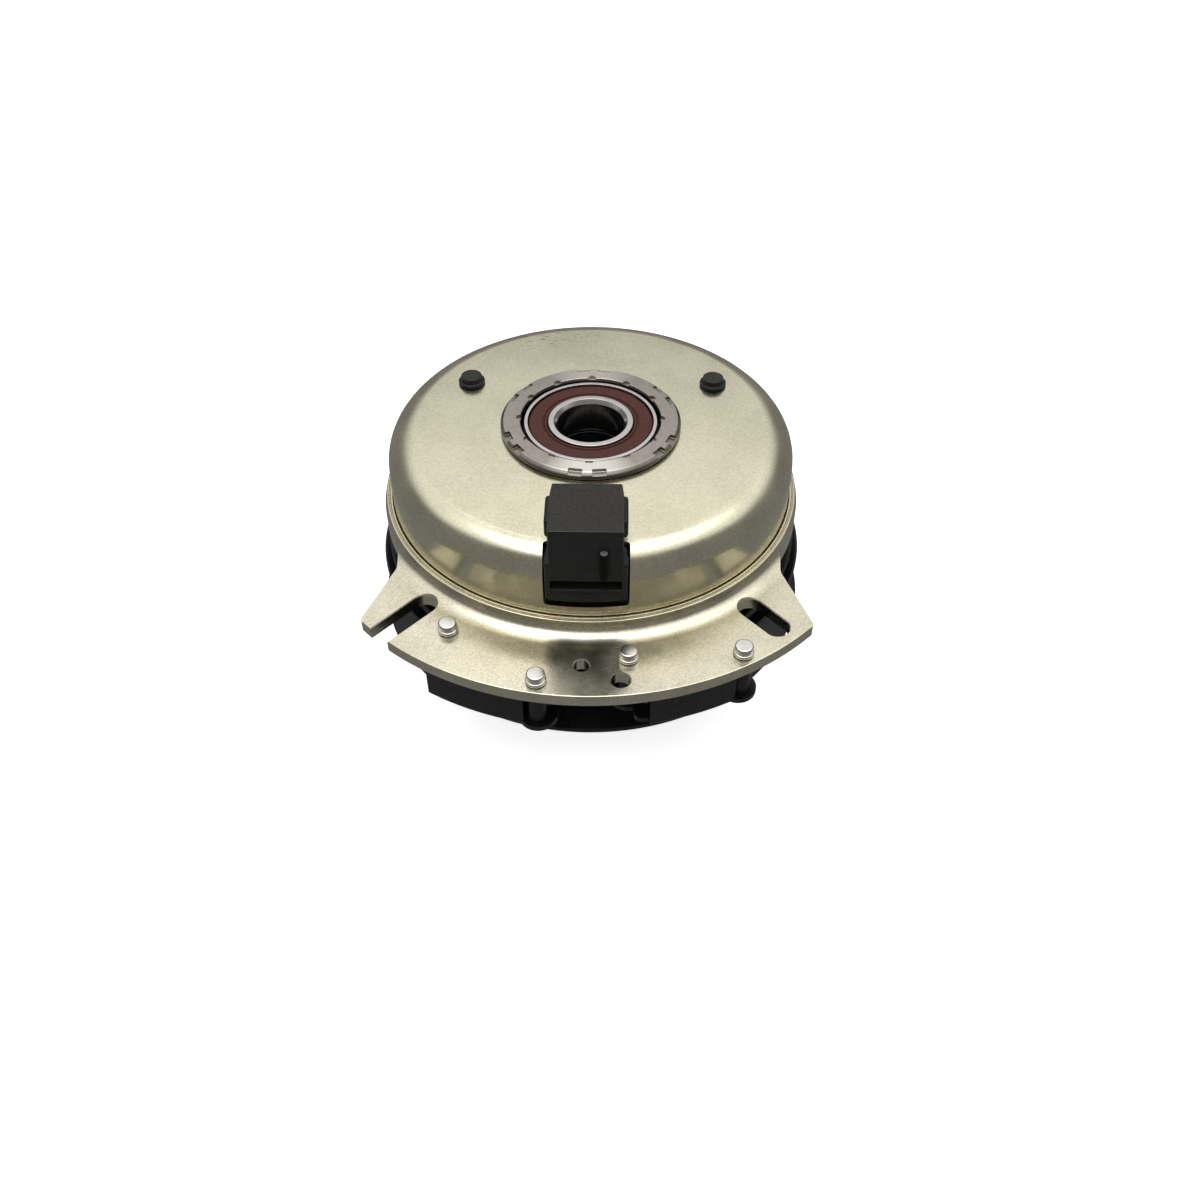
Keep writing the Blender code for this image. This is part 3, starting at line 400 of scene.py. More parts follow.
ringPaintedLight = {
    # painted highlight: the face is made paler towards the front and the back
    "paintedHighlight": (0.86, 0.82, 0.75),
    "aheadSpan": (-0.86, -0.985),
    "behindSpan": (0.84, 0.99),
    "backShare": 0.5,
    # painted shade: a contact shadow in the mouth and on the bore wall
    "paintedShade": (0.035, 0.03, 0.027),
    "paintedShadeReach": (0.0264, 0.0268),
    # painted shade on the ring's side below the head
    "side": (0.15, 0.13, 0.11),
    "sideDepth": (0.0016, 0.0010),
}


def addRingPaintedLight(material):
    # painted highlight on the turned face at front and back, painted shade on its side and in its mouth
    tree = material.node_tree
    shader = tree.nodes["Principled BSDF"]
    tone = shader.inputs["Base Color"].links[0].from_socket
    where = objectSpace(tree)
    flat = addNode(tree, "ShaderNodeVectorMath", operation="MULTIPLY")
    flat.inputs[1].default_value = (1, 1, 0)
    tree.links.new(where, flat.inputs[0])
    length = addNode(tree, "ShaderNodeVectorMath", operation="LENGTH")
    tree.links.new(flat.outputs["Vector"], length.inputs[0])
    unit = addNode(tree, "ShaderNodeVectorMath", operation="NORMALIZE")
    tree.links.new(flat.outputs["Vector"], unit.inputs[0])
    heading = addNode(tree, "ShaderNodeSeparateXYZ")
    tree.links.new(unit.outputs["Vector"], heading.inputs[0])
    ahead = remap(tree, heading.outputs["Y"], *ringPaintedLight["aheadSpan"], 0, 1)
    behind = remap(tree, heading.outputs["Y"], *ringPaintedLight["behindSpan"], 0, ringPaintedLight["backShare"])
    paintedHighlight = addNode(tree, "ShaderNodeMath", operation="MAXIMUM")
    tree.links.new(ahead, paintedHighlight.inputs[0])
    tree.links.new(behind, paintedHighlight.inputs[1])
    # painted highlight, paler towards the front and the back
    tone = blendColours(tree, paintedHighlight.outputs["Value"], tone, ringPaintedLight["paintedHighlight"])
    place = addNode(tree, "ShaderNodeSeparateXYZ")
    tree.links.new(where, place.inputs[0])
    heights = [poleTop - depth for depth in ringPaintedLight["sideDepth"]]
    side = remap(tree, place.outputs["Z"], *heights, 1, 0)
    # painted shade on the side below the head
    tone = blendColours(tree, side, tone, ringPaintedLight["side"])
    # painted shade darkening the mouth and the bore wall
    paintedShade = remap(tree, length.outputs["Value"], *ringPaintedLight["paintedShadeReach"], 1, 0)
    tone = blendColours(tree, paintedShade, tone, ringPaintedLight["paintedShade"])
    tree.links.new(tone, shader.inputs["Base Color"])


def makeBlack(name, roughness, size, depth, gloss=0.5):
    first, second = tones[name]
    material, tree, shader = newFinish(name, second, roughness, 0.0)
    shader.inputs["Specular IOR Level"].default_value = gloss
    where = objectSpace(tree)
    texture = grain(tree, where, size, 4)
    tree.links.new(twoTones(tree, texture, first, second), shader.inputs["Base Color"])
    roughen(tree, shader, texture, depth, 0.6)
    return material


dustAndHighlight = {
    "tone": (0.034, 0.028, 0.018),
    "size": 0.0009,
    "facing": (0.93, 0.99),
    "edge": (0.30, 0.27, 0.22),
    # edge colour: a painted highlight on the bevels along the top, partly wear
    "edgeFrom": (0.25, 0.45),
    "edgeTo": (0.85, 0.96),
    "edgeDepth": (0.0009, 0.0005),
}


def addDustAndHighlight(material):
    # dust on the faces that look up, and pale edges along the connector's top that are partly wear and
    # partly a painted highlight on the bevels
    tree = material.node_tree
    shader = tree.nodes["Principled BSDF"]
    base = shader.inputs["Base Color"].links[0].from_socket
    coordinates = addNode(tree, "ShaderNodeTexCoord")
    facing = addNode(tree, "ShaderNodeSeparateXYZ")
    tree.links.new(coordinates.outputs["Normal"], facing.inputs[0])
    spots = grain(tree, coordinates.outputs["Object"], dustAndHighlight["size"], 5)
    spots = remap(tree, spots, 0.35, 0.72, 0.12, 0.9)
    up = remap(tree, facing.outputs["Z"], *dustAndHighlight["facing"], 0, 1)
    amount = addNode(tree, "ShaderNodeMath", operation="MULTIPLY")
    tree.links.new(spots, amount.inputs[0])
    tree.links.new(up, amount.inputs[1])
    tone = blendColours(tree, amount.outputs["Value"], base, dustAndHighlight["tone"])
    rising = remap(tree, facing.outputs["Z"], *dustAndHighlight["edgeFrom"], 0, 1)
    falling = remap(tree, facing.outputs["Z"], *dustAndHighlight["edgeTo"], 1, 0)
    edge = addNode(tree, "ShaderNodeMath", operation="MULTIPLY")
    tree.links.new(rising, edge.inputs[0])
    tree.links.new(falling, edge.inputs[1])
    place = addNode(tree, "ShaderNodeSeparateXYZ")
    tree.links.new(coordinates.outputs["Object"], place.inputs[0])
    heights = [blockTop - depth for depth in dustAndHighlight["edgeDepth"]]
    upper = remap(tree, place.outputs["Z"], *heights, 0, 1)
    wearAndHighlight = addNode(tree, "ShaderNodeMath", operation="MULTIPLY")
    tree.links.new(edge.outputs["Value"], wearAndHighlight.inputs[0])
    tree.links.new(upper, wearAndHighlight.inputs[1])
    # painted highlight along the top edges, partly wear
    tone = blendColours(tree, wearAndHighlight.outputs["Value"], tone, dustAndHighlight["edge"])
    tree.links.new(tone, shader.inputs["Base Color"])


tones = {
    "machinedRing": ((0.39, 0.345, 0.31), (0.43, 0.385, 0.35)),
    "bearingSteel": ((0.58, 0.56, 0.54), (0.64, 0.62, 0.60)),
    "rivetSteel": ((0.70, 0.68, 0.64), (0.78, 0.76, 0.72)),
    "hubSteel": ((0.13, 0.125, 0.12), (0.17, 0.165, 0.16)),
    "springSteel": ((0.20, 0.21, 0.23), (0.32, 0.33, 0.35)),
    "copperWire": ((0.55, 0.22, 0.10), (0.70, 0.32, 0.17)),
    "blackPaint": ((0.004, 0.004, 0.0045), (0.008, 0.008, 0.009)),
    "blackPlastic": ((0.007, 0.0075, 0.0085), (0.012, 0.0125, 0.0135)),
    # painted shade: the latch post is darker than the face around it
    "paintedShadePlastic": ((0.001, 0.001, 0.001), (0.002, 0.002, 0.002)),
    # painted highlight: the latch cap's top is made pale grey
    "paintedHighlightPlastic": ((0.13, 0.13, 0.125), (0.17, 0.17, 0.165)),
    "sealRubber": ((0.068, 0.021, 0.015), (0.086, 0.027, 0.020)),
    "ferrite": ((0.035, 0.035, 0.038), (0.06, 0.06, 0.065)),
}

zinc = makeZinc("zincPlate", plateLook, False)
zincDome = makeZinc("zincDome", zincLook, True)
ringSteel = makeSteel("machinedRing", 0.26, 0.0022, 0.0004, 0.000008)
bearingSteel = makeSteel("bearingSteel", 0.18, 0.005)
rivetSteel = makeSteel("rivetSteel", 0.24, 0.004)
shaftSteel = makeSteel("hubSteel", 0.36, 0.006)
springSteel = makeSteel("springSteel", 0.36)
blackPaint = makeBlack("blackPaint", 0.30, 0.0015, 0.00001, 0.4)
blackPlastic = makeBlack("blackPlastic", 0.42, 0.0008, 0.00003, 0.3)
paintedShadePlastic = makeBlack("paintedShadePlastic", 0.5, 0.0008, 0.00001, 0.12)
paintedHighlightPlastic = makeBlack("paintedHighlightPlastic", 0.5, 0.0008, 0.00001)
sealRubber = makeBlack("sealRubber", 0.55, 0.0012, 0.00002, 0.2)
copperWire = makeSteel("copperWire", 0.35)
ferrite = makeBlack("ferrite", 0.6, 0.0015, 0.00002)
print("finishes made")


# heights and radii taken from the frame

cupLow, cupTop, cupRadius = nodeSpan("field_cup")
plateLow, collarTop, plateRadius = nodeSpan("torque_plate")
poleLow, poleTop, poleHeadRadius = nodeSpan("inner_pole")
upperLow, upperTop = nodeSpan("upper_bearing_outer_ring")[:2]
lowerLow, lowerTop, lowerRadius = nodeSpan("lower_bearing_outer_ring")
armatureLow, armatureTop, armatureRadius = nodeSpan("armature")
shoeLow, wallTop = nodeSpan("brake_shoe_left")[:2]
rimTop = nodeSpan("pulley_rim")[1]
discLow = nodeSpan("rotor_disc")[0]
hubLow, hubTop = nodeSpan("rotor_hub")[:2]
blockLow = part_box("connector_housing")[0].z
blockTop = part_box("connector_housing")[1].z
fit = 0.0003


# cup

cup = {
    "wall": 0.0032,
    "shoulder": 0.0105,
    "hole": 0.0313,
    "windowHalf": 0.0149,
    "windowDrop": 0.0213,
    "windowBack": 0.0668,
}


def makeCup():
    outer = cupRadius
    inner = cupRadius - cup["wall"]
    ceiling = cupTop - cup["wall"]
    piece = turn("dome", [
        (cup["hole"], cupTop, 0),
        (outer, cupTop, cup["shoulder"]),
        (outer, cupLow, 0.0004),
        (inner, cupLow, 0.0004),
        (inner, ceiling, cup["shoulder"] - cup["wall"]),
        (cup["hole"], ceiling, 0),
    ], 192)
    window = box("window", (-cup["windowHalf"], -outer - 0.01, cupTop - cup["windowDrop"]),
                 (cup["windowHalf"], -cup["windowBack"], cupTop + 0.01))
    softEdges(window, 0.0012, 3)
    shape(piece, "DIFFERENCE", window)
    smooth(piece)
    return dress(piece, "field", zincDome, ["field_cup"])


makeCup()
print("cup made")


# torque plate

plate = {
    "thickness": 0.0048,
    "inner": 0.0776,
    "collar": 0.0801,
    "lip": 0.0009,
    "groove": 0.0008,
    "rimStep": 0.0002,
    "countersink": 0.00035,
    "filletReach": 0.087,
    "filletRise": 0.0038,
    "edge": 0.0006,
    "backRadius": 0.0808,
    "backStart": 62,
    "frontEnd": 45,
    "arcStep": 3,
    "wingRoot": (0.0708, -0.0475),
    "wingAngle": 47.0,
    "tipRound": 0.005,
    "rootRound": 0.006,
    "slotAngle": 41.4,
    "slotHalf": 0.00465,
    "slotStart": 0.0886,
    "slotEnd": 0.1011,
    "holes": ((0.00272, 0.0954, -0.8), (0.00335, 0.1026, 6.75)),
}
plateTop = plateLow + plate["thickness"]


def plateOutline():
    # the right half from the front to the back, then its mirror image
    tip = polar(plateRadius, plate["wingAngle"])
    root = Vector((*plate["wingRoot"], 0))
    step = plate["arcStep"]
    front = [polar(plateRadius + 0.0004, angle) for angle in range(0, plate["frontEnd"] + 1, step)]
    leave = polar(plate["backRadius"], plate["backStart"])
    back = [polar(plate["backRadius"], angle) for angle in range(plate["backStart"] + step, 181, step)]
    corners = [(point.x, point.y, 0) for point in front]
    corners += [
        (tip.x, tip.y, plate["tipRound"]),
        (root.x, root.y, plate["rootRound"]),
        (leave.x, leave.y, 0),
    ]
    corners += [(point.x, point.y, 0) for point in back]
    half = roundCorners(corners, False)
    return half + [Vector((-point.x, point.y)) for point in reversed(half[1:-1])]


def slotCutter(name, radius, centre, length, direction):
    # a round cutter with a countersunk rim, drawn out to a slot
    rim = plate["countersink"]
    piece = turn(name, [
        (0, plateTop + 0.01, 0),
        (radius + rim + 0.0002, plateTop + 0.01, 0),
        (radius + rim + 0.0002, plateTop + 0.0002, 0),
        (radius, plateTop - rim, 0),
        (radius, plateLow - 0.002, 0),
        (0, plateLow - 0.002, 0),
    ], 32, False)
    if length:
        focusOn(piece)
        bpy.ops.object.mode_set(mode="EDIT")
        bpy.ops.mesh.select_all(action="SELECT")
        bpy.ops.mesh.bisect(plane_co=(0, 0, 0), plane_no=(0, 1, 0))
        bpy.ops.mesh.select_all(action="DESELECT")
        bpy.ops.object.mode_set(mode="OBJECT")
        for vertex in piece.data.vertices:
            vertex.select = vertex.co.y < -0.000001
        bpy.ops.object.mode_set(mode="EDIT")
        bpy.ops.transform.translate(value=(0, -length, 0))
        bpy.ops.object.mode_set(mode="OBJECT")
    for vertex in piece.data.vertices:
        vertex.co += Vector((0, -centre, 0))
    return turnAbout(piece, direction)


def makePlate():
    lip = plate["inner"] + plate["lip"]
    groove = collarTop - plate["groove"]
    rim = collarTop - plate["rimStep"]
    profile = [
        (plate["inner"], collarTop, 0.0003),
        (lip, collarTop, 0.0003),
        (lip + 0.0002, groove, 0.0002),
        (lip + 0.0005, groove, 0.0002),
        (lip + 0.0007, rim, 0.0002),
        (plate["collar"], rim, 0.0006),
    ]
    run = plate["filletReach"] - plate["collar"]
    foot = plateTop + plate["filletRise"]
    for step in range(12):
        angle = math.radians(7.5 * step)
        across = plate["filletReach"] - run * math.cos(angle)
        profile.append((across, foot - plate["filletRise"] * math.sin(angle), 0))
    profile += [
        (plate["filletReach"], plateTop, 0),
        (plateRadius, plateTop, plate["edge"]),
        (plateRadius, plateLow, plate["edge"]),
        (plate["inner"], plateLow, 0.0003),
    ]
    piece = turn("torquePlate", profile, 192)
    shape(piece, "INTERSECT", slab("plateShape", plateOutline(), plateLow - 0.01, collarTop + 0.01))
    half, start, angle = plate["slotHalf"], plate["slotStart"], plate["slotAngle"]
    shape(piece, "DIFFERENCE", slotCutter("closedSlot", half, start, plate["slotEnd"] - start, angle))
    shape(piece, "DIFFERENCE", slotCutter("openSlot", half, start, 0.03, -angle))
    for radius, centre, angle in plate["holes"]:
        shape(piece, "DIFFERENCE", slotCutter("hole", radius, centre, 0, angle))
    smooth(piece)
    return dress(piece, "field", zinc, ["torque_plate"])


makePlate()
print("torque plate made")


# staked ring on the pole

pole = {
    "bore": 0.0263,
    "tube": 0.031,
    "ledge": 0.0033,
    "spread": 0.0006,
    "mouth": 0.0004,
    "slope": 0.0011,
    "wallRise": 0.0012,
    "pairs": 6,
    "pairTurn": -1,
    "notchTurn": 7.7,
    "notchHalf": 0.0026,
    "notchDepth": 0.0013,
    "notchReach": 0.0028,
    "dimples": 12,
    "dimpleRadius": 0.0016,
    "dimpleDepth": 0.0008,
}


def makePole():
    head = poleTop
    under = cupTop + fit
    outer = poleHeadRadius + pole["spread"]
    seat = upperLow - fit
    piece = turn("stakedRing", [
        (pole["bore"] + pole["mouth"], head, 0.0003),
        (outer - pole["slope"], head, 0.0004),
        (outer, head - pole["slope"], 0.0004),
        (outer, under, 0.0003),
        (pole["tube"], under, 0),
        (pole["tube"], poleLow, 0.0003),
        (pole["bore"] - pole["ledge"], poleLow, 0.0003),
        (pole["bore"] - pole["ledge"], seat, 0),
        (pole["bore"], seat, 0),
        (pole["bore"], head - pole["wallRise"], 0),
    ], 144)
    low = (-pole["notchHalf"], -outer - 0.002, head - pole["notchDepth"])
    high = (pole["notchHalf"], -outer + pole["notchReach"], head + 0.002)
    pattern = softEdges(box("notchPattern", low, high), 0.0003, 2)
    notches = []
    for pair in range(pole["pairs"]):
        for side in (-1, 1):
            spin = 360 / pole["pairs"] * pair + pole["notchTurn"] * side + pole["pairTurn"]
            notches.append(copyTo(pattern, "notch", degrees=spin))
    drop(pattern)
    shape(piece, "DIFFERENCE", gather(notches))
    foot = head - pole["dimpleDepth"]
    pattern = rod("dimplePattern", (0, 0), pole["dimpleRadius"], foot, head + 0.001, 20)
    dimples = []
    for count in range(pole["dimples"]):
        centre = polar(pole["bore"] + pole["mouth"], 360 / pole["dimples"] * count)
        dimples.append(copyTo(pattern, "dimple", centre))
    drop(pattern)
    shape(piece, "DIFFERENCE", gather(dimples))
    smooth(piece, 30)
    return dress(piece, "field", ringSteel, ["inner_pole"])


addRingPaintedLight(ringSteel)
makePole()
print("staked ring made")


# bearings

upperBearing = {"bore": 0.0127, "outer": 0.026, "low": upperLow, "top": upperTop, "body": "field"}
lowerBearing = {"bore": 0.0175, "outer": 0.031, "low": lowerLow, "top": lowerTop, "body": "pulley"}
bearingShape = {
    "wallShare": 0.26,
    "outerShare": 0.62,
    "trackHalf": 0.0035,
    "trackDepth": 0.0008,
    "outerEdge": (0.0009, 0.0011),
    "innerEdge": (0.0013, 0.0015),
    "sealSink": 0.0005,
    "sealThickness": 0.0009,
    "sealStep": 0.0006,
}


def makeBearing(prefix, size):
    outer, bore = size["outer"], size["bore"]
    low, top = size["low"], size["top"]
    middle = (low + top) / 2
    wall = (outer - bore) * bearingShape["wallShare"]
    innerLand = bore + wall
    outerLand = outer - wall * bearingShape["outerShare"]
    half, depth = bearingShape["trackHalf"], bearingShape["trackDepth"]
    across, down = bearingShape["outerEdge"]
    ring = turn(prefix + "OuterRing", [
        (outerLand, top, 0.0001),
        (outer - across, top, 0.0002),
        (outer, top - down, 0.0004),
        (outer, low + down, 0.0004),
        (outer - across, low, 0.0002),
        (outerLand, low, 0.0001),
        (outerLand, middle - half, 0),
        (outerLand + depth, middle, 0.002),
        (outerLand, middle + half, 0),
    ], 128)
    dress(ring, size["body"], bearingSteel, [prefix + "_outer_ring"])
    across, down = bearingShape["innerEdge"]
    ring = turn(prefix + "InnerRing", [
        (bore, top - down, 0.0006),
        (bore + across, top, 0.0002),
        (innerLand, top, 0.0003),
        (innerLand, middle + half, 0),
        (innerLand - depth, middle, 0.002),
        (innerLand, middle - half, 0),
        (innerLand, low, 0.0003),
        (bore + across, low, 0.0002),
        (bore, low + down, 0.0006),
    ], 128)
    dress(ring, "rotor", bearingSteel, [prefix + "_inner_ring"])
    for side, end, out in (("top", top, -1), ("bottom", low, 1)):
        face = end + bearingShape["sealSink"] * out
        back = face + bearingShape["sealThickness"] * out
        step = face + bearingShape["sealStep"] * out
        corners = [
            (innerLand + fit, back, 0),
            (innerLand + fit, step, 0.0001),
            (innerLand + 0.0005, face, 0.0001),
            (innerLand + 0.0012, face, 0.0002),
            (innerLand + 0.0014, step, 0.0001),
            (innerLand + 0.0019, step, 0.0001),
            (innerLand + 0.0021, face, 0.0002),
            (outerLand - 0.0009, face, 0.0003),
            (outerLand - fit, step, 0.0001),
            (outerLand - fit, back, 0),
        ]
        seal = turn(prefix + "Seal" + side.title(), corners, 128)
        dress(seal, size["body"], sealRubber, [prefix + "_seal_" + side])


makeBearing("upper_bearing", upperBearing)
makeBearing("lower_bearing", lowerBearing)
print("bearings made")


# plugs

plug = {
    "circle": 0.055,
    "angle": 120,
    "base": 0.00515,
    "baseHeight": 0.0011,
    "top": 0.00405,
    "height": 0.0032,
    "stem": 0.0039,
}


def plugPattern():
    foot = cupTop + fit
    return turn("plugPattern", [
        (0, foot + plug["height"], 0),
        (plug["top"], foot + plug["height"], 0.0003),
        (plug["top"] + 0.0002, foot + plug["baseHeight"] + 0.0002, 0.0002),
        (plug["base"], foot + plug["baseHeight"], 0.0003),
        (plug["base"], foot, 0),
        (plug["stem"], foot, 0),
        (plug["stem"], cupTop - cup["wall"], 0),
        (0, cupTop - cup["wall"], 0),
    ], 40, False)


pattern = plugPattern()
for side, sign in (("left", -1), ("right", 1)):
    piece = copyTo(pattern, "plug" + side.title(), polar(plug["circle"], plug["angle"] * sign))
    dress(piece, "field", blackPlastic, ["bobbin_plug_" + side])
drop(pattern)
print("plugs made")


# rivets and spacers, which stand on the shoes' sheet

shoe = {
    "sheet": 0.002,
    "inner": 0.0752,
    "outer": 0.1075,
    "ear": 0.0068,
    "earCircle": 0.1027,
    "bend": 0.0018,
    "wallRoot": 0.0012,
    "wallStart": {"left": -10.95, "right": -8.25},
    "wallEnd": 8.9,
}

rivet = {
    "innerCircle": 0.093,
    "outerCircle": 0.1042,
    "shoeTurn": 20.25,
    "spread": 11.15,
    "shank": 0.0019,
    "head": 0.0033,
    "collar": 0.0036,
    "height": 0.0038,
    "ring": 0.0013,
    "spacerWall": 0.0013,
    "footHeight": 0.0012,
    "footSlope": 0.0008,
}


def rivetPattern():
    base = plateTop + fit
    head = base + rivet["height"]
    ring = base + rivet["ring"]
    foot = shoeLow - fit
    return turn("rivetPattern", [
        (0, head, 0),
        (rivet["head"], head, 0.0007),
        (rivet["head"], ring + 0.0003, 0.0002),
        (rivet["head"] - 0.0003, ring, 0.0001),
        (rivet["collar"], ring - 0.0002, 0.0003),
        (rivet["collar"], base, 0.0002),
        (rivet["shank"], base, 0),
        (rivet["shank"], foot, 0),
        (rivet["head"], foot, 0.0003),
        (rivet["head"] - rivet["footSlope"], foot - rivet["footHeight"], 0.0004),
        (0, foot - rivet["footHeight"], 0),
    ], 48, False)


def spacerPattern():
    inner = rivet["shank"] + fit
    foot = shoeLow + shoe["sheet"] + fit
    return turn("spacerPattern", [
        (inner, plateLow - fit, 0),
        (inner + rivet["spacerWall"], plateLow - fit, 0.0002),
        (inner + rivet["spacerWall"], foot, 0.0002),
        (inner, foot, 0),
    ], 40, True)


rivetShape = rivetPattern()
spacerShape = spacerPattern()
for side, sign in (("left", -1), ("right", 1)):
    middle = rivet["shoeTurn"] * sign
    places = {
        "inner": polar(rivet["innerCircle"], middle - rivet["spread"]),
        "outer": polar(rivet["outerCircle"], middle + rivet["spread"]),
    }
    for kind, centre in places.items():
        piece = copyTo(rivetShape, "rivet", centre)
        dress(piece, "field", rivetSteel, [f"shoe_rivet_{side}_{kind}"])
        sleeve = copyTo(spacerShape, "spacer", centre)
        dress(sleeve, "field", blackPaint, [f"spacer_{side}_{kind}"])
drop(rivetShape)
drop(spacerShape)
print("rivets made")


# brake shoes

def circlePoints(centre, radius, first, last, count):
    # angles in degrees from +X
    angles = [math.radians(first + (last - first) * step / count) for step in range(count + 1)]
    return [Vector((centre.x + radius * math.cos(a), centre.y + radius * math.sin(a))) for a in angles]


def shoeOutline(middle):
    first = middle - rivet["spread"]
    last = middle + rivet["spread"]
    innerEar = polar(rivet["innerCircle"], first)
    outerEar = polar(shoe["earCircle"], last)
    firstEdge = first - math.degrees(math.asin(shoe["ear"] / rivet["innerCircle"]))
    lastEdge = last + math.degrees(math.asin(shoe["ear"] / shoe["earCircle"]))
    base = shoe["outer"] - shoe["bend"]
    step = shoe["earCircle"]
    reach = (base ** 2 + step ** 2 - shoe["ear"] ** 2) / (2 * base * step)
    earStart = last - math.degrees(math.acos(min(1.0, reach)))
    low = polar(base, earStart)
    earFrom = math.degrees(math.atan2(low.y - outerEar.y, low.x - outerEar.x))
    points = [polar(shoe["inner"], lastEdge + (firstEdge - lastEdge) * t / 14).xy for t in range(15)]
    points += circlePoints(innerEar, shoe["ear"], firstEdge + 180, first + 270, 12)
    end = first + 0.3
    points += [polar(rivet["innerCircle"] + shoe["ear"] + 0.0004, end).xy, polar(base - 0.003, end).xy]
    points += [polar(base - 0.0009, end + 0.45).xy]
    points += [polar(base, end + 1.5 + (earStart - end - 1.5) * t / 14).xy for t in range(15)]
    points += circlePoints(outerEar, shoe["ear"], earFrom, lastEdge, 22)[1:]
    return points


def makeShoe(side, middle):
    top = shoeLow + shoe["sheet"]
    piece = slab("brakeShoe" + side.title(), shoeOutline(middle), shoeLow, top)
    outer = shoe["outer"]
    root = outer - shoe["bend"] - shoe["wallRoot"]
    wall = turn("shoeWall", [
        (outer - shoe["sheet"], wallTop, 0.0003),
        (outer, wallTop, 0.0003),
        (outer, shoeLow, shoe["bend"]),
        (root, shoeLow, 0),
        (root, top, 0),
        (outer - shoe["sheet"], top, 0),
    ], 192)
    first = middle + shoe["wallStart"][side]
    last = middle + shoe["wallEnd"]
    arc = [polar(outer + 0.01, first + (last - first) * t / 10).xy for t in range(11)]
    arc += [polar(outer - 0.02, last + (first - last) * t / 10).xy for t in range(11)]
    shape(wall, "INTERSECT", slab("wallSpan", arc, shoeLow - 0.01, wallTop + 0.01))
    shape(piece, "UNION", wall)
    for kind, circle, angle in (("inner", rivet["innerCircle"], -1), ("outer", rivet["outerCircle"], 1)):
        centre = polar(circle, middle + rivet["spread"] * angle)
        hole = rod("shoeHole", centre, rivet["shank"] + fit, shoeLow - 0.01, top + 0.01, 24)
        shape(piece, "DIFFERENCE", hole)
    smooth(piece)
    return dress(piece, "field", blackPaint, ["brake_shoe_" + side])


makeShoe("left", -rivet["shoeTurn"])
makeShoe("right", rivet["shoeTurn"])
print("brake shoes made")


# connector

connector = {
    "half": 0.0126,
    "front": 0.0783,
    "bow": 0.0015,
    "back": 0.0532,
    "backInset": 0.0006,
    "taper": 0.0055,
    "footHalf": 0.0143,
    "footTop": 0.0169,
    "inside": 0.0671,
    "mouthHalf": 0.0122,
    "mouthLow": 0.0058,
    "mouthHigh": 0.0103,
    "lip": 0.0015,
    "wall": 0.0016,
    "earFront": 0.0065,
    "earTop": 0.0014,
    "earLow": 0.0088,
    "postPlace": 0.0061,
    "postRadius": 0.00145,
    "postProud": 0.0012,
    "postDrop": 0.0084,
    "postFoot": 0.0024,
    "edge": 0.0004,
    "skirtEdge": 0.0011,
    "earEdge": 0.0012,
}


def alongX(name, outline, half):
    # an outline in depth and height, given its width across the object
    piece = slab(name, outline, -half, half)
    piece.matrix_world = Matrix(((0, 0, 1, 0), (1, 0, 0, 0), (0, 1, 0, 0), (0, 0, 0, 1)))
    focusOn(piece)
    bpy.ops.object.transform_apply(location=True, rotation=True, scale=True)
    return piece


def makeConnector():
    half = connector["half"]
    back = -connector["back"]
    front = -connector["front"]
    wide = connector["footHalf"]
    inside = -connector["inside"]
    foot = cupTop + fit
    bend = back - connector["taper"]
    inset = half - connector["backInset"]
    outline = [
        (-half, front, 0.0005),
        (half, front, 0.0005),
        (half, bend, 0.0012),
        (inset, back, 0.0006),
        (-inset, back, 0.0006),
        (-half, bend, 0.0012),
    ]
    piece = softEdges(slab("connector", roundCorners(outline), foot, blockTop), connector["edge"], 2)
    panel = [(-half, front, 0.0005), (half, front, 0.0005), (half, inside, 0), (-half, inside, 0)]
    shape(piece, "UNION", slab("panel", roundCorners(panel), blockLow + 0.004, foot + 0.001))
    bow = []
    for step in range(-8, 9):
        bow.append(Vector((wide * step / 8, front - 0.0002 + connector["bow"] * (step / 8) ** 2)))
    bow += [Vector((wide, inside)), Vector((-wide, inside))]
    skirt = slab("skirt", bow, blockLow, blockLow + connector["footTop"])
    shape(piece, "UNION", softEdges(skirt, connector["skirtEdge"], 3))
    for sign in (-1, 1):
        near, far = sorted((sign * (half - 0.001), sign * (wide - 0.0002)))
        low = (near, front + connector["earFront"], blockTop - connector["earLow"])
        high = (far, bend + 0.0012, blockTop - connector["earTop"])
        shape(piece, "UNION", softEdges(box("ear", low, high), connector["earEdge"], 3))
    mouthLow = blockLow + connector["mouthLow"]
    mouthHigh = blockLow + connector["mouthHigh"]
    lip = connector["lip"]
    end = inside - connector["wall"]
    ahead = front - 0.005
    profile = [Vector((end, mouthHigh)), Vector((end, mouthLow))]
    for step in range(9):
        angle = math.radians(90 * step / 8)
        depth = front + lip - lip * math.sin(angle)
        profile.append(Vector((depth, mouthLow - lip + lip * math.cos(angle))))
    profile += [Vector((ahead, mouthLow - lip)), Vector((ahead, mouthHigh))]
    shape(piece, "DIFFERENCE", alongX("mouth", profile, connector["mouthHalf"]))
    smooth(piece, 30)
    dress(piece, "field", blackPlastic, ["connector_housing"])
    place = (connector["postPlace"], front - connector["postProud"])
    postTop = blockTop - connector["postDrop"]
    post = rod("latchPost", place, connector["postRadius"], mouthHigh + connector["postFoot"], postTop, 40)
    # painted shade: the latch post gets a darker black than the connector's face
    dress(smooth(softEdges(post, 0.0002, 2, 60)), "field", paintedShadePlastic, [])
    # painted highlight: a pale grey disc on the latch post's top
    cap = rod("latchCap", place, connector["postRadius"] - 0.0002, postTop - 0.0003, postTop + 0.00005, 40)
    dress(smooth(cap), "field", paintedHighlightPlastic, [])


addDustAndHighlight(blackPlastic)
makeConnector()
print("connector made")


# pulley, armature and rotor

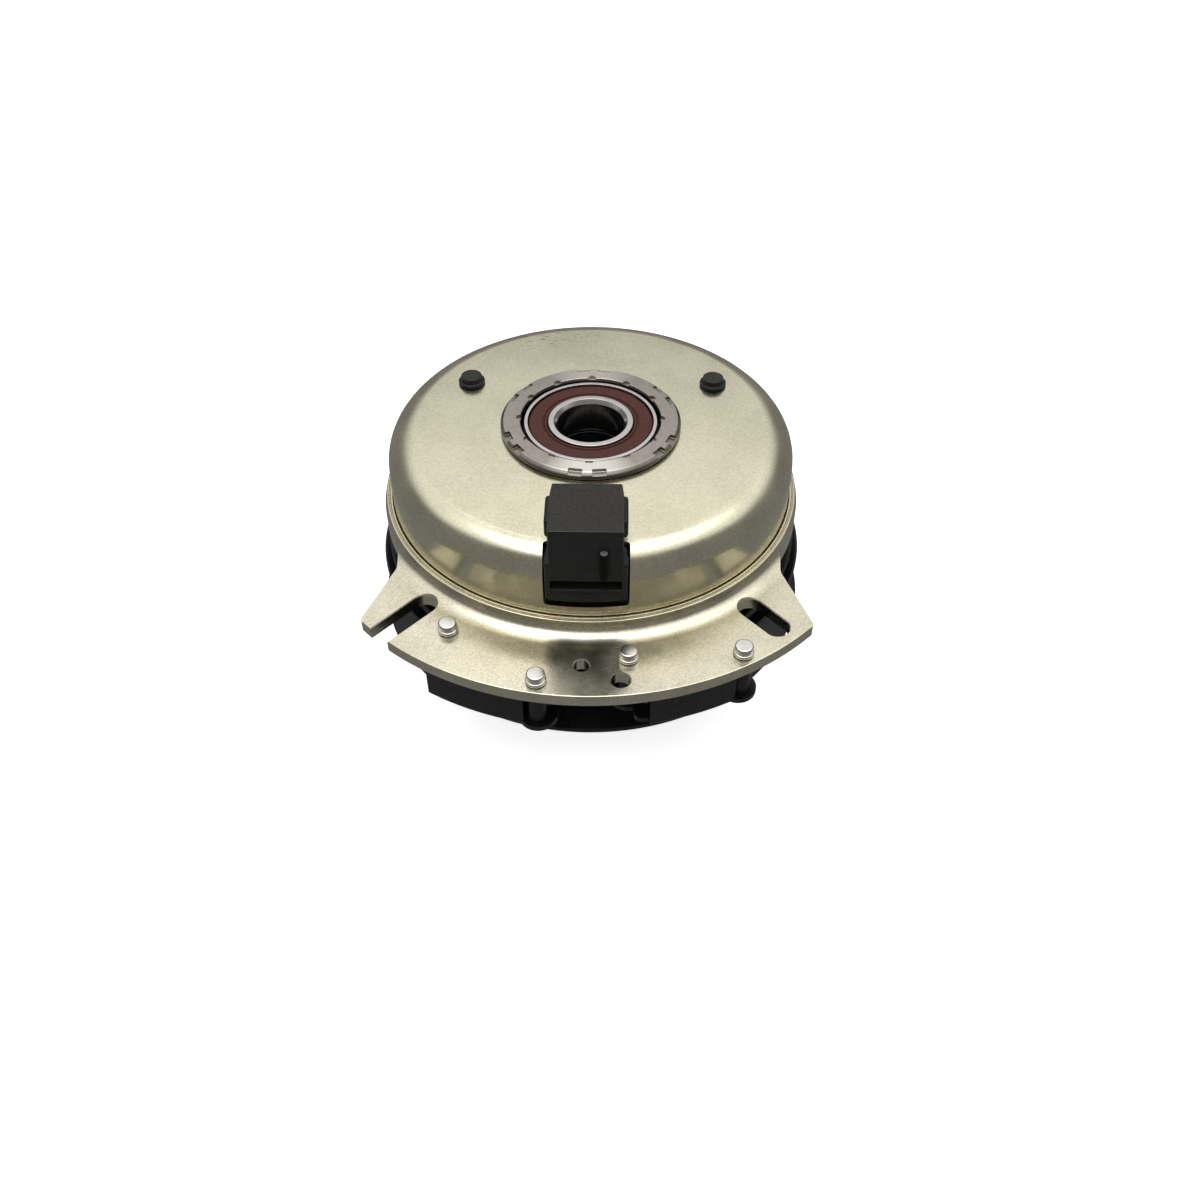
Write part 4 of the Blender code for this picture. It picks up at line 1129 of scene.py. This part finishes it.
pulley = {
    "upper": 0.0838,
    "lower": 0.0858,
    "sheet": 0.0024,
    "floor": 0.0675,
    "slope": math.tan(math.radians(20)),
    "web": 0.020,
    "rest": 0.0024,
    "webBore": 0.0366,
    "hubWall": 0.005,
    "hubFlange": 0.0075,
    "lipReach": 0.0024,
    "lipRise": 0.0016,
}


def makePulley():
    sheet = pulley["sheet"]
    floor = pulley["floor"]
    upperLip = rimTop - sheet + fit
    lowerLip = sheet - fit
    floorTop = upperLip - (pulley["upper"] - floor) * pulley["slope"]
    floorLow = lowerLip + (pulley["lower"] - floor) * pulley["slope"]
    webTop = pulley["web"] + sheet
    hub = pulley["webBore"]
    piece = turn("pulleyRim", [
        (hub, webTop, 0),
        (floor - 0.0005, webTop, 0.004),
        (pulley["upper"], rimTop, 0.0006),
        (pulley["upper"], upperLip, 0.0006),
        (floor, floorTop, 0.0015),
        (floor, floorLow, 0.0015),
        (pulley["lower"], lowerLip, 0.0006),
        (pulley["lower"], 0, 0.0006),
        (pulley["lower"] - pulley["rest"], 0, 0.0003),
        (floor - sheet, floorLow - sheet, 0.003),
        (floor - sheet, pulley["web"], 0.003),
        (hub, pulley["web"], 0),
    ], 192)
    return dress(piece, "pulley", blackPaint, ["pulley_rim"])


def makePulleyHub():
    bore = lowerRadius + fit
    wall = bore + pulley["hubWall"]
    flange = wall + pulley["hubFlange"]
    lip = lowerTop + fit
    lipBore = lowerRadius - pulley["lipReach"]
    hubHead = lip + pulley["lipRise"]
    low = lowerLow - fit
    flangeTop = pulley["web"] - fit
    flangeLow = flangeTop - pulley["sheet"]
    piece = turn("pulleyHub", [
        (lipBore, hubHead, 0.0003),
        (wall, hubHead, 0.0005),
        (wall, flangeTop, 0),
        (flange, flangeTop, 0.0003),
        (flange, flangeLow, 0.0005),
        (wall, flangeLow, 0.001),
        (wall, low, 0.0005),
        (bore, low, 0.0003),
        (bore, lip, 0),
        (lipBore, lip, 0.0003),
    ], 128)
    return dress(piece, "pulley", blackPaint, ["pulley_hub"])


hub = {
    "bore": 0.0127,
    "counterbore": 0.0136,
    "counterboreDepth": 0.0055,
    "neck": 0.0161,
    "neckHeight": 0.004,
    "neckSlope": 0.002,
    "body": 0.020,
    "flange": 0.027,
    "flangeHeight": 0.003,
    "shoulder": 0.022,
    "grooveDepth": 0.0012,
    "grooveWidth": 0.0018,
    "keyHalf": 0.003175,
    "keyReach": 0.0158,
}


def makeHub():
    flangeTop = discLow - fit
    flangeLow = flangeTop - hub["flangeHeight"]
    neckLow = hubTop - hub["neckHeight"]
    floor = hubTop - hub["counterboreDepth"]
    shoulder = lowerTop + fit
    spigot = lowerBearing["bore"] - fit
    groove = spigot - hub["grooveDepth"]
    grooveLow = lowerLow - hub["grooveWidth"]
    piece = turn("rotorHub", [
        (hub["counterbore"], hubTop, 0.0003),
        (hub["neck"], hubTop, 0.0004),
        (hub["neck"], neckLow, 0.0006),
        (hub["body"], neckLow - hub["neckSlope"], 0.001),
        (hub["body"], flangeTop, 0),
        (hub["flange"], flangeTop, 0.0004),
        (hub["flange"], flangeLow, 0.0004),
        (hub["shoulder"], flangeLow - 0.001, 0.001),
        (hub["shoulder"], shoulder, 0.0004),
        (spigot, shoulder, 0),
        (spigot, lowerLow, 0),
        (groove, lowerLow, 0),
        (groove, grooveLow, 0),
        (spigot, grooveLow, 0),
        (spigot, hubLow, 0.0006),
        (hub["bore"], hubLow, 0.0006),
        (hub["bore"], floor - 0.0006, 0),
        (hub["counterbore"] - fit, floor, 0),
        (hub["counterbore"], floor, 0),
    ], 128)
    low = (-hub["keyHalf"], 0.004, hubLow - 0.002)
    high = (hub["keyHalf"], hub["keyReach"], floor + 0.0002)
    shape(piece, "DIFFERENCE", box("keyway", low, high))
    smooth(piece, 30)
    return dress(piece, "rotor", shaftSteel, ["rotor_hub"])


armatureBore = 0.042


def makeArmature():
    piece = turn("armatureDisc", [
        (armatureBore, armatureTop, 0.0003),
        (armatureRadius, armatureTop, 0.0004),
        (armatureRadius, armatureLow, 0.0004),
        (armatureBore, armatureLow, 0.0003),
    ], 192)
    return dress(piece, "armature", blackPaint, ["armature"])


makePulley()
makePulleyHub()
makeHub()
makeArmature()
print("pulley, hub and armature made")


# finishes on the frame's own nodes

frameFinishes = {
    "rotor_disc": shaftSteel,
    "retaining_ring": springSteel,
    "coil_bobbin": blackPlastic,
    "coil_winding": copperWire,
    "terminal_left": bearingSteel,
    "terminal_right": bearingSteel,
    "brake_magnet_left": ferrite,
    "brake_magnet_right": ferrite,
    "brake_pole_left": blackPaint,
    "brake_pole_right": blackPaint,
    "upper_bearing_ball_set": bearingSteel,
    "lower_bearing_ball_set": bearingSteel,
}
for number in ("1", "2", "3"):
    frameFinishes["leaf_spring_" + number] = springSteel
    frameFinishes["pulley_rivet_" + number] = springSteel
    frameFinishes["armature_rivet_" + number] = springSteel
for node, material in frameFinishes.items():
    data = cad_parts[node].data
    data.materials.clear()
    data.materials.append(material)


# floor, light and camera

stage = {
    "size": 6.0,
    "floorTone": (0.90, 0.90, 0.90),
    "floorGlow": 0.7,
    "cardReach": 0.9,
    "cardTop": 1.6,
    "cardDark": 0.44,
    "cardPale": 0.80,
    "frontLift": 0.72,
    "cardTone": 0.19,
    "worldSoft": 0.7,
    "worldSeen": 1.0,
}
lamps = {
    "keyLight": {"place": (-0.22, -0.12, 1.3), "width": 1.0, "energy": 4},
    "fillLight": {"place": (0.35, 0.1, 1.3), "width": 1.0, "energy": 2},
    "backLight": {"place": (-0.22, 1.0, 0.98), "width": 0.7, "energy": 0.8},
}
lampAim = (0, 0, 0.05)


def makeFloor():
    clearSelection()
    bpy.ops.mesh.primitive_plane_add(size=stage["size"], location=(0, 0, -0.0004))
    floor = bpy.context.object
    floor.name = "floor"
    material, tree, shader = newFinish("paleFloor", stage["floorTone"], 0.9, 0.0)
    path = addNode(tree, "ShaderNodeLightPath")
    seen = addNode(tree, "ShaderNodeMath", operation="MAXIMUM")
    tree.links.new(path.outputs["Is Camera Ray"], seen.inputs[0])
    tree.links.new(path.outputs["Is Glossy Ray"], seen.inputs[1])
    shader.inputs["Emission Color"].default_value = (1, 1, 1, 1)
    glow = remap(tree, seen.outputs["Value"], 0, 1, 0, stage["floorGlow"])
    tree.links.new(glow, shader.inputs["Emission Strength"])
    floor.data.materials.append(material)


def makeCards():
    # grey studio cards on the floor and round the table, which only reflections show
    top = stage["cardTop"]
    reach = stage["cardReach"]
    cards = turn("greyCards", [(0, -0.0002, 0), (reach, -0.0002, 0), (reach, top, 0)], 64, False)
    material, tree, shader = newFinish("greyCard", (0, 0, 0), 1.0, 0.0)
    place = addNode(tree, "ShaderNodeSeparateXYZ")
    tree.links.new(objectSpace(tree), place.inputs[0])
    lift = remap(tree, place.outputs["Y"], -reach, 0, stage["frontLift"], 0)
    height = addNode(tree, "ShaderNodeMath", operation="SUBTRACT")
    tree.links.new(place.outputs["Z"], height.inputs[0])
    tree.links.new(lift, height.inputs[1])
    shader.inputs["Emission Color"].default_value = (1, 1, 1, 1)
    span = (stage["cardDark"], stage["cardPale"])
    tone = remap(tree, height.outputs["Value"], *span, stage["cardTone"], 1.0)
    tree.links.new(tone, shader.inputs["Emission Strength"])
    shader.inputs["Specular IOR Level"].default_value = 0
    cards.data.materials.append(material)
    cards.visible_camera = False
    cards.visible_diffuse = False
    cards.visible_shadow = False
    cards.visible_transmission = False


def makeLamp(name):
    place = lamps[name]["place"]
    clearSelection()
    bpy.ops.object.light_add(type="AREA", location=place)
    lamp = bpy.context.object
    lamp.name = name
    lamp.data.shape = "DISK"
    lamp.data.size = lamps[name]["width"]
    lamp.data.energy = lamps[name]["energy"]
    lamp.rotation_mode = "QUATERNION"
    lamp.rotation_quaternion = (Vector(lampAim) - Vector(place)).to_track_quat("-Z", "Y")


def makeWorld():
    world = bpy.data.worlds.new("studio")
    bpy.context.scene.world = world
    world.use_nodes = True
    tree = world.node_tree
    background = tree.nodes["Background"]
    background.inputs["Color"].default_value = (1, 1, 1, 1)
    path = addNode(tree, "ShaderNodeLightPath")
    first = addNode(tree, "ShaderNodeMath", operation="MAXIMUM")
    second = addNode(tree, "ShaderNodeMath", operation="MAXIMUM")
    tree.links.new(path.outputs["Is Camera Ray"], first.inputs[0])
    tree.links.new(path.outputs["Is Glossy Ray"], first.inputs[1])
    tree.links.new(first.outputs["Value"], second.inputs[0])
    tree.links.new(path.outputs["Is Transmission Ray"], second.inputs[1])
    level = remap(tree, second.outputs["Value"], 0, 1, stage["worldSoft"], stage["worldSeen"])
    tree.links.new(level, background.inputs["Strength"])


camera = {"place": (0.0094, -0.3730, 0.3483), "view": (-0.0113, 0.7174, -0.6965), "lens": 36}


def makeCamera():
    clearSelection()
    bpy.ops.object.camera_add(location=camera["place"])
    eye = bpy.context.object
    eye.rotation_mode = "QUATERNION"
    eye.rotation_quaternion = Vector(camera["view"]).to_track_quat("-Z", "Y")
    eye.data.sensor_width = 36
    eye.data.lens = camera["lens"]
    eye.data.clip_start = 0.01
    bpy.context.scene.camera = eye


makeFloor()
makeCards()
makeWorld()
for name in lamps:
    makeLamp(name)
makeCamera()
bpy.context.scene.view_settings.view_transform = "Standard"
print("stage set")

bpy.context.view_layer.update()
